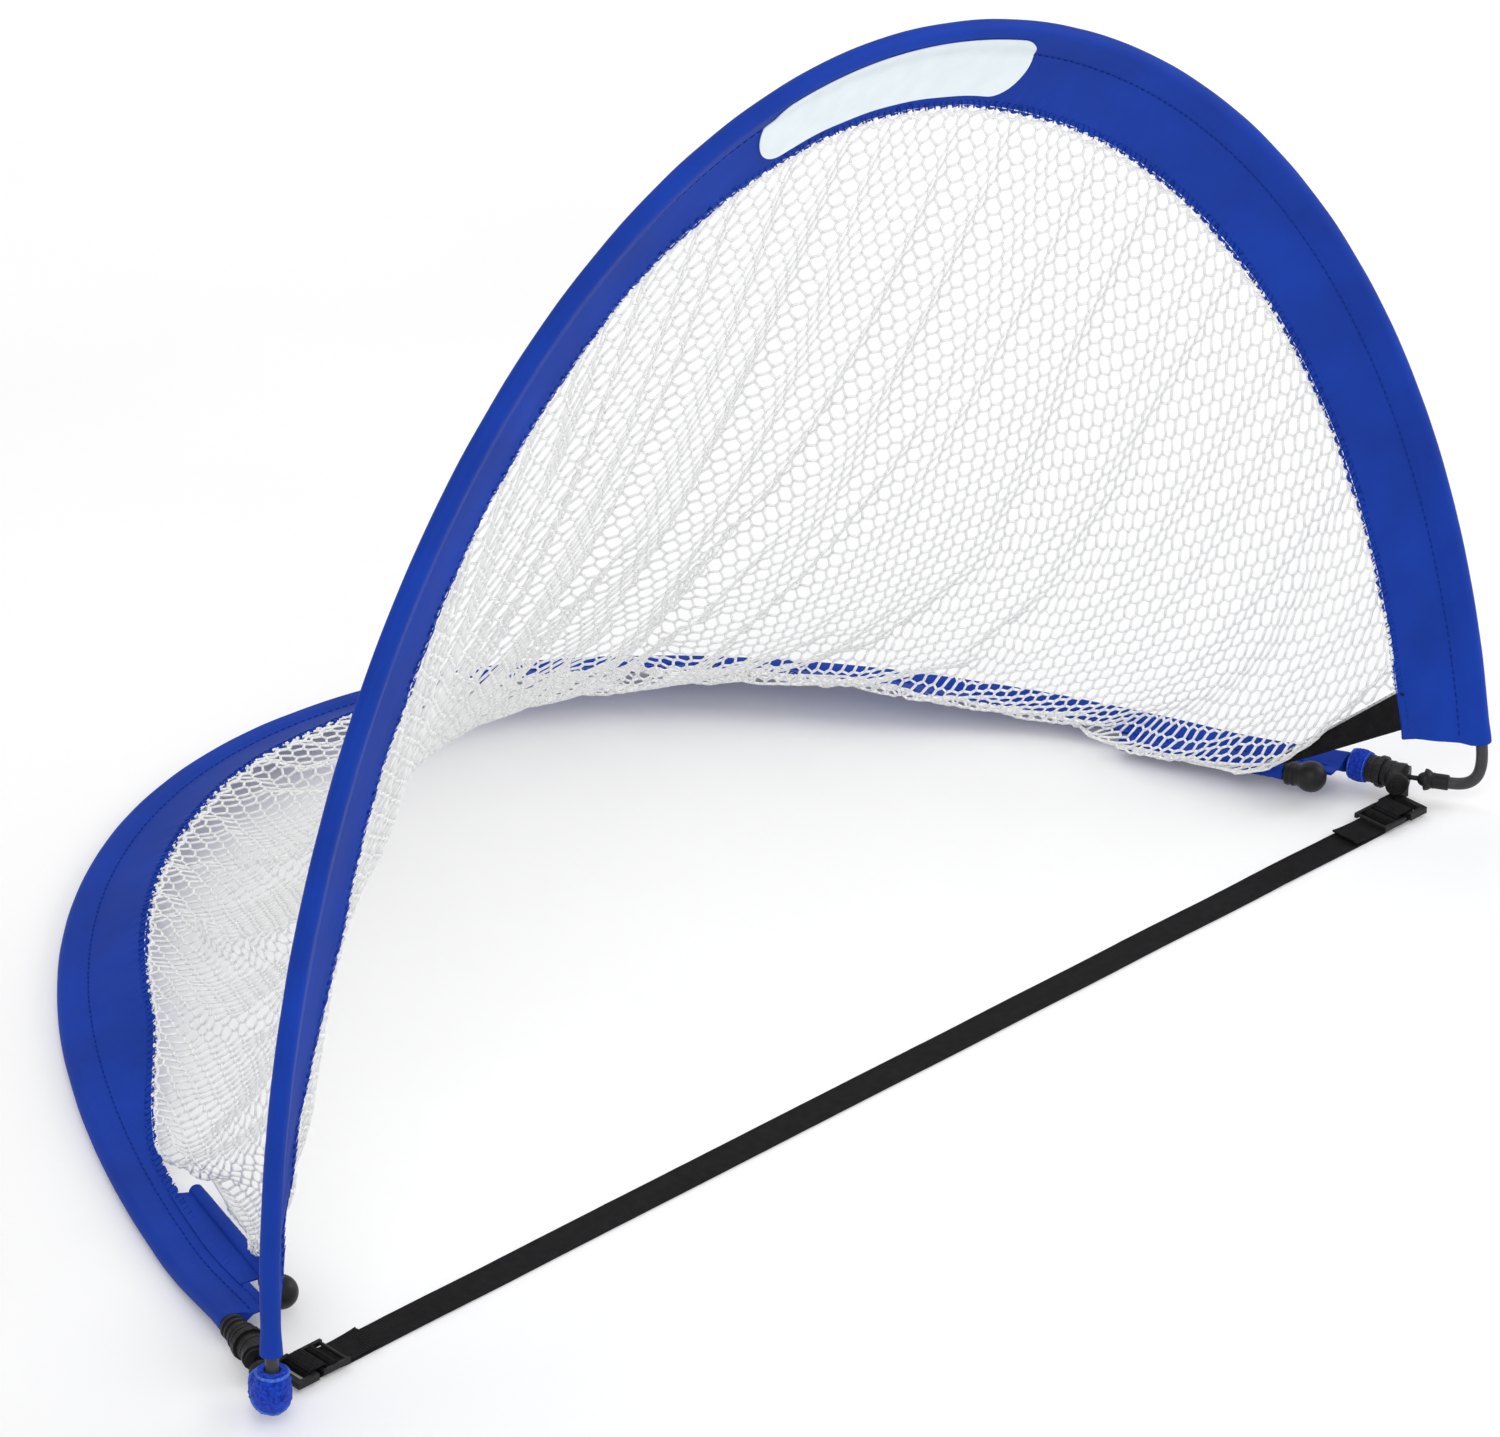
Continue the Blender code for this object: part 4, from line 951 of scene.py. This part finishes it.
def build_swivel(side, word):
    """A cupped socket on the end of the bend, and the ball ended stud it turns on."""
    cup_r, rim_r = 0.0058, 0.0085
    profile = [(cup_r * sin(a), cup_r * cos(a)) for a in np.linspace(pi / 2, 0, 10)]
    profile += [(0.0002, 0.0080)]
    profile += [(rim_r * sin(a), rim_r * cos(a)) for a in np.linspace(0.08, 0.78, 9)]
    profile += [(0.0075, 0.0063), (0.0080, 0.0060), (0.0180, 0.0060), (0.0188, 0.0055),
                (0.0190, 0.0048), (0.0078, 0.0047)]
    put(turned(f"socket_{word}", profile, pivot(side), -to_back(side), PLASTIC),
        "front_arch", "moulded_plastic", f"bend_socket_{word}")
    ball_r, stem_r = 0.0055, 0.0019
    ball = [(-ball_r * cos(a), ball_r * sin(a)) for a in np.linspace(0.02, pi - 0.36, 18)]
    profile = ball + [(0.0080, stem_r), (0.0195, stem_r)]
    put(turned(f"stud_{word}", profile, pivot(side), to_back(side), PLASTIC),
        "ground_frame", "moulded_plastic", f"swivel_stud_{word}")


# distance along the hub's axis, radius
CAP_PROFILE = [
    (0.0100, 0.0045), (0.0143, 0.0046), (0.0145, 0.0086), (0.0150, 0.0090),
    (0.0158, 0.0090), (0.0164, 0.0085), (0.0166, 0.0070), (0.0160, 0.0066),
    (0.0160, 0.0030), (0.0166, 0.0026), (0.0166, 0.0),
]


def build_connector(side, word, from_corner):
    """The CAD casting with a cap, raised rings round its barrel and a ribbed ferrule."""
    soften(f"corner_connector_{word}", 0.0006)
    centre = elbow(side)
    hub = unit([-side * 0.64, -0.77, 0.0])
    put(turned(f"cap_{word}", CAP_PROFILE, centre, hub, PLASTIC),
        "ground_frame", "moulded_plastic", f"connector_cap_{word}")
    barrel = unit([*(from_corner[40] - from_corner[0])[:2], 0.0])
    ring_r = 0.0107
    for k, along in enumerate((0.0015, 0.0150, 0.0188)):
        points = [centre + barrel * (along + x) for x in (-0.0010, -0.0006, 0.0006, 0.0010)]
        radii = np.array([ring_r - 0.0006, ring_r, ring_r, ring_r - 0.0006])
        put(hollow(f"barrel_ring_{word}_{k + 1}", points, radii, 0.0100, PLASTIC, 32),
            "ground_frame", "moulded_plastic")
    stations, radii = [], []
    for k in range(3):
        rib = 0.0206 + k * 0.0048
        stations += [rib, rib + 0.0005, rib + 0.0024, rib + 0.0029]
        radii += [0.0082, 0.0094, 0.0094, 0.0082]
    stations += [0.0352, 0.0356, 0.064]
    radii += [0.0082, 0.0061, 0.0061]
    put(hollow(f"ferrule_{word}", resample(from_corner, stations), radii, 0.0051, PLASTIC, 28),
        "ground_frame", "moulded_plastic", f"ground_ferrule_{word}")


def tie_band(word, body, line, end_r, bulge, ripple, inner, sides, rough,
             edges, edge_half, edge_rise, edge_depth, edge_bump):
    """A wound, brushed band over 26 stations, with pale stitched rings at the edges given.

    edge_half is a ring's half length in stations, edge_rise its height at the shoulder and
    edge_depth how far it sinks in.
    """
    radii = (end_r + bulge * (1 - np.linspace(-1, 1, 26) ** 2)
             + ripple * np.sin(np.arange(26) * 2.1))
    put(hollow(f"tie_band_wound_{word}", line, radii, inner, BAND, sides, rough),
        body, "loop_band", f"tie_band_{word}")
    total = length(line)
    for k, edge in enumerate(edges):
        stations = np.linspace(total * (edge - edge_half) / 25, total * (edge + edge_half) / 25, 5)
        base = float(radii[edge]) + 0.0002
        shoulder = base + edge_rise
        put(hollow(f"tie_band_edge_{word}_{k + 1}", resample(line, stations),
                   [base, shoulder, shoulder + 0.0001, shoulder, base], base - edge_depth,
                   BAND_EDGE, sides, bumpy(30 + k, edge_bump)),
            body, "loop_band")


def band_on_bend(path):
    part = path[14:52]
    line = resample(part, np.linspace(0.006, length(part) - 0.002, 26))
    tie_band("left", "front_arch", line, end_r=0.0098, bulge=0.0034, ripple=0.0006,
             inner=0.0060, sides=40, rough=bumpy(19, 0.10), edges=(1, 12, 24),
             edge_half=0.45, edge_rise=0.0005, edge_depth=0.0014, edge_bump=0.06)


def band_on_ferrule(from_corner):
    line = resample(from_corner, np.linspace(0.0206, 0.0350, 26))
    tie_band("right", "ground_frame", line, end_r=0.0112, bulge=0.0014, ripple=0.0003,
             inner=0.0099, sides=48, rough=bumpy(22, 0.05), edges=(2, 23),
             edge_half=0.8, edge_rise=0.0004, edge_depth=0.0010, edge_bump=0.04)


for side, word in SIDES:
    bend_line = bend_path(side)
    from_corner = ground if side < 0 else ground[::-1]
    build_bend(side, word, bend_line)
    build_swivel(side, word)
    build_connector(side, word, from_corner)
    if side < 0:
        band_on_bend(bend_line)
    else:
        band_on_ferrule(from_corner)

# ------------------------------------------------------------------ strap, loops and buckles
BAR_X, BAR_Z, BAR_R = 0.528, 0.0055, 0.0017  # the buckle's bar that the strap turns round
STRAP_THICK, STRAP_HALF, LOOP_HALF = 0.0011, 0.0125, 0.0120
BUCKLE_X, EYE_INSET = 0.5535, 0.00675


def ribbon(name, line, half, closed=False, ragged=False, seed=0.0):
    """Webbing of a given half width in y that follows a line of (x, z)."""
    line = np.asarray(line, float)
    if closed:
        way = np.roll(line, -1, 0) - np.roll(line, 1, 0)
    else:
        way = np.gradient(line, axis=0)
    way /= norm(way, axis=1)[:, None]
    offsets = np.stack([-way[:, 1], way[:, 0]], 1) * STRAP_THICK / 2
    across = np.linspace(-half, half, 15)
    rings = []
    for i, ((x, z), (off_x, off_z)) in enumerate(zip(line, offsets)):
        ring = []
        for face, order in ((-1, across), (1, across[::-1])):
            for y in order:
                rib = 1.0 if abs(y) < half * 0.86 else 1.25
                fray = 0.0
                if ragged and i in (0, len(line) - 1):
                    fray = (1 if i else -1) * 0.0022 * wobble(y * 900, i, seed)
                swell = max(0, 0.00025 * wobble(x * 60, y * 90, seed))
                ring.append(np.array([x + fray + face * off_x * rib,
                                      y + 0.0007 * wobble(x * 9, 1, seed),
                                      z + face * off_z * rib + swell]))
        rings.append(ring)
    return make(name, *rings_mesh(rings, closed=closed), WEB, sharp=60)


def build_strap():
    """Along the ground, round each buckle's bar and back inward over itself."""
    turn_r = BAR_R + 0.0005 + STRAP_THICK / 2
    half_line = [(x, STRAP_THICK / 2 + 0.0001 + 0.0009 * max(0, wobble(x * 8, 0, 2)))
                 for x in np.linspace(0, BAR_X - 0.012, 120)]
    half_line += [(BAR_X - 0.0055, STRAP_THICK / 2 + 0.0006)]
    half_line += [(BAR_X + turn_r * cos(radians(a)), BAR_Z + turn_r * sin(radians(a)))
                  for a in np.linspace(-90, 170, 28)]
    # the tail: distance inward from the bar, height
    tail = [(0.0040, 0.0040), (0.0058, 0.0030), (0.0085, 0.0027), (0.0200, 0.0027),
            (0.0300, 0.0032), (0.0350, 0.0037), (0.0400, 0.0044)]
    half_line += [(BAR_X - inset, z) for inset, z in tail]
    line = [(-x, z) for x, z in half_line[::-1]] + half_line[1:]
    put(ribbon("strap", line, STRAP_HALF, ragged=True, seed=8.0),
        "ground_frame", "webbing", "ground_strap")


def build_strap_loop(side, word):
    """A flattened loop between the buckle and the corner's eye."""
    outer, eye = side * (BAR_X + 0.0098), side * (BUCKLE_X - EYE_INSET)
    middle, gap = (eye + outer) / 2, abs(eye - outer)
    outer_r, inner_r = 0.0044, 0.0042
    line = []
    for reach, radius, start in ((gap / 2, outer_r, -pi / 2), (-gap / 2, inner_r, pi / 2)):
        line += [(middle + side * (reach + radius * cos(a)), BAR_Z + radius * sin(a))
                 for a in np.linspace(start, start + pi, 15)]
    web = ribbon(f"strap_loop_{word}", line, LOOP_HALF, closed=True, seed=3.0)
    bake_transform(web, "ground_frame", f"buckle_{word}", (middle + side * gap / 2, 0, BAR_Z),
             (middle - side * (gap / 2 - inner_r), 0, BAR_Z))
    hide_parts(f"strap_anchor_loop_{word}")


build_strap()
for side, word in SIDES:
    build_strap_loop(side, word)
    soften(f"strap_buckle_{word}", 0.0005)

# ------------------------------------------------------------------ pegs and pockets
# distance from the grip along the peg's axis, radius
PEG_PROFILE = [(0.005, 0.0), (0.0052, 0.0025), (0.138, 0.0025), (0.146, 0.0014),
               (0.150, 0.0003), (0.150, 0.0)]
KNOB_R = 0.012
GRIP_PROFILE = [(-KNOB_R * cos(a), KNOB_R * sin(a)) for a in np.linspace(0.02, 2.25, 22)]
GRIP_PROFILE += [
    (0.0100, 0.0085), (0.0118, 0.0084), (0.0124, 0.0091), (0.0140, 0.0092),
    (0.0145, 0.0086), (0.0165, 0.0086), (0.0170, 0.0092), (0.0192, 0.0090),
    (0.0198, 0.0080), (0.0200, 0.0029), (0.0052, 0.0028),
]


def build_peg(side, word):
    start, run = peg_start(side), peg_run(side)
    put(turned(f"peg_{word}", PEG_PROFILE, start, run, STEEL, 24),
        f"peg_{word}", "peg_steel", f"ground_peg_{word}")
    put(turned(f"grip_{word}", GRIP_PROFILE, start, run, PLASTIC, 40),
        f"peg_{word}", "moulded_plastic", f"peg_grip_{word}")


def build_pocket(side, word):
    """A cloth tube round the peg, and its seam allowance sewn to the ground sleeve's flap."""
    start, run = peg_start(side), peg_run(side)
    stations = np.linspace(0.0215, 0.158, 60)
    radii = np.interp(stations, [0.0215, 0.03, 0.158], [0.0064, 0.0056, 0.0053])
    put(hollow(f"pocket_{word}", [start + run * s for s in stations], radii, 0.0035, BLUE, 24,
               bumpy(50 + side, 0.06)),
        "ground_frame", "sleeve_polyester", f"peg_pocket_{word}")
    half = np.array([0, 0, 0.0006])
    strip = []
    for along in np.linspace(0.024, 0.156, 50):
        axis = start + run * along
        j = int(np.argmin(norm(back.points - axis, axis=1)))
        sewn = back.at(j, back.width[j] - 0.006, 0.0014)
        edge = axis + unit(sewn - axis) * 0.0046
        middle = (edge + sewn) / 2 + [0, 0, 0.0012 * wobble(along * 60, side, 4)]
        strip.append([edge - half, middle - half, sewn - half,
                      sewn + half, middle + half, edge + half])
    put(make(f"pocket_seam_{word}", *rings_mesh(strip), BLUE, sharp=60),
        "ground_frame", "sleeve_polyester")


for side, word in SIDES:
    build_peg(side, word)
    build_pocket(side, word)


# ------------------------------------------------------------------ stage, light and camera
def seen(tree, base, extra, socket):
    """Drive a strength: base for the light it gives, base + extra where the camera sees it."""
    path = tree.nodes.new("ShaderNodeLightPath")
    add = tree.nodes.new("ShaderNodeMath")
    add.operation = "MULTIPLY_ADD"
    tree.links.new(path.outputs["Is Camera Ray"], add.inputs[0])
    add.inputs[1].default_value = extra
    add.inputs[2].default_value = base
    tree.links.new(add.outputs[0], socket)
    return add.inputs[1]


def build_floor():
    bpy.ops.mesh.primitive_plane_add(size=14, location=(0, 0, -0.0006))
    floor = bpy.context.object
    floor.name = "floor"
    material = shader("floor_pale", rgb=(0.93, 0.93, 0.93), rough=0.7, vary=0.01, scale=3, bump=0)
    floor.data.materials.append(material)
    tree = material.node_tree
    paint = tree.nodes["Principled BSDF"]
    paint.inputs["Emission Color"].default_value = (1, 1, 1, 1)
    extra = seen(tree, base=0.0, extra=0.10, socket=paint.inputs["Emission Strength"])
    # the lamps fade with distance, so the far floor is lifted to the backdrop's white
    place = tree.nodes.new("ShaderNodeTexCoord")
    far = tree.nodes.new("ShaderNodeVectorMath")
    far.operation = "LENGTH"
    lift = tree.nodes.new("ShaderNodeMapRange")
    ranges = (("From Min", 1.3), ("From Max", 4.5), ("To Min", 0.10), ("To Max", 0.42))
    for key, value in ranges:
        lift.inputs[key].default_value = value
    tree.links.new(place.outputs["Object"], far.inputs[0])
    tree.links.new(far.outputs["Value"], lift.inputs["Value"])
    tree.links.new(lift.outputs["Result"], extra)


def build_world():
    world = bpy.data.worlds.new("studio")
    bpy.context.scene.world = world
    bpy.context.scene.view_settings.view_transform = "Standard"
    world.use_nodes = True
    background = world.node_tree.nodes["Background"]
    background.inputs[0].default_value = (1, 1, 1, 1)
    seen(world.node_tree, base=0.64, extra=0.33, socket=background.inputs[1])


def area(name, place, target, size, power):
    light = bpy.data.lights.new(name, "AREA")
    light.energy = power
    light.size = size
    obj = add_object(name, light)
    obj.location = place
    obj.rotation_euler = (Vector(target) - Vector(place)).to_track_quat("-Z", "Y").to_euler()


def build_camera():
    """Orbits the front arch's foot line, seen from the front left and above."""
    azimuth, elevation, roll = -0.7744, 0.5048, 0.0108  # radians
    # in goal widths: distance from the foot line, then shifts right and up in the view
    distance, shift_right, shift_up = 4.1512, -0.1011, 0.2198
    backward = np.array([sin(azimuth) * cos(elevation), -cos(azimuth) * cos(elevation),
                         sin(elevation)])
    level = unit(np.cross(UPRIGHT, backward))
    rise = np.cross(backward, level)
    right = cos(roll) * level + sin(roll) * rise
    up = -sin(roll) * level + cos(roll) * rise
    shift = right * shift_right + up * shift_up + backward * distance
    data = bpy.data.cameras.new("camera")
    data.lens = 172.2
    data.sensor_width = 36
    data.clip_end = 60
    camera = add_object("camera", data)
    matrix = np.eye(4)
    matrix[:3] = np.stack([right, up, backward, shift * GOAL_WIDTH + ARCH_FOOT], axis=1)
    camera.matrix_world = Matrix(matrix.tolist())
    bpy.context.scene.camera = camera


build_floor()
build_world()
area("key", place=(-2.6, -2.2, 3.2), target=(0, 0.2, 0.3), size=2.2, power=54)
area("fill", place=(3.0, -1.6, 2.2), target=(0, 0.2, 0.3), size=2.5, power=50)
area("top", place=(0.3, 1.6, 3.4), target=(0, 0.2, 0.2), size=2.5, power=16)
build_camera()

bpy.context.view_layer.update()
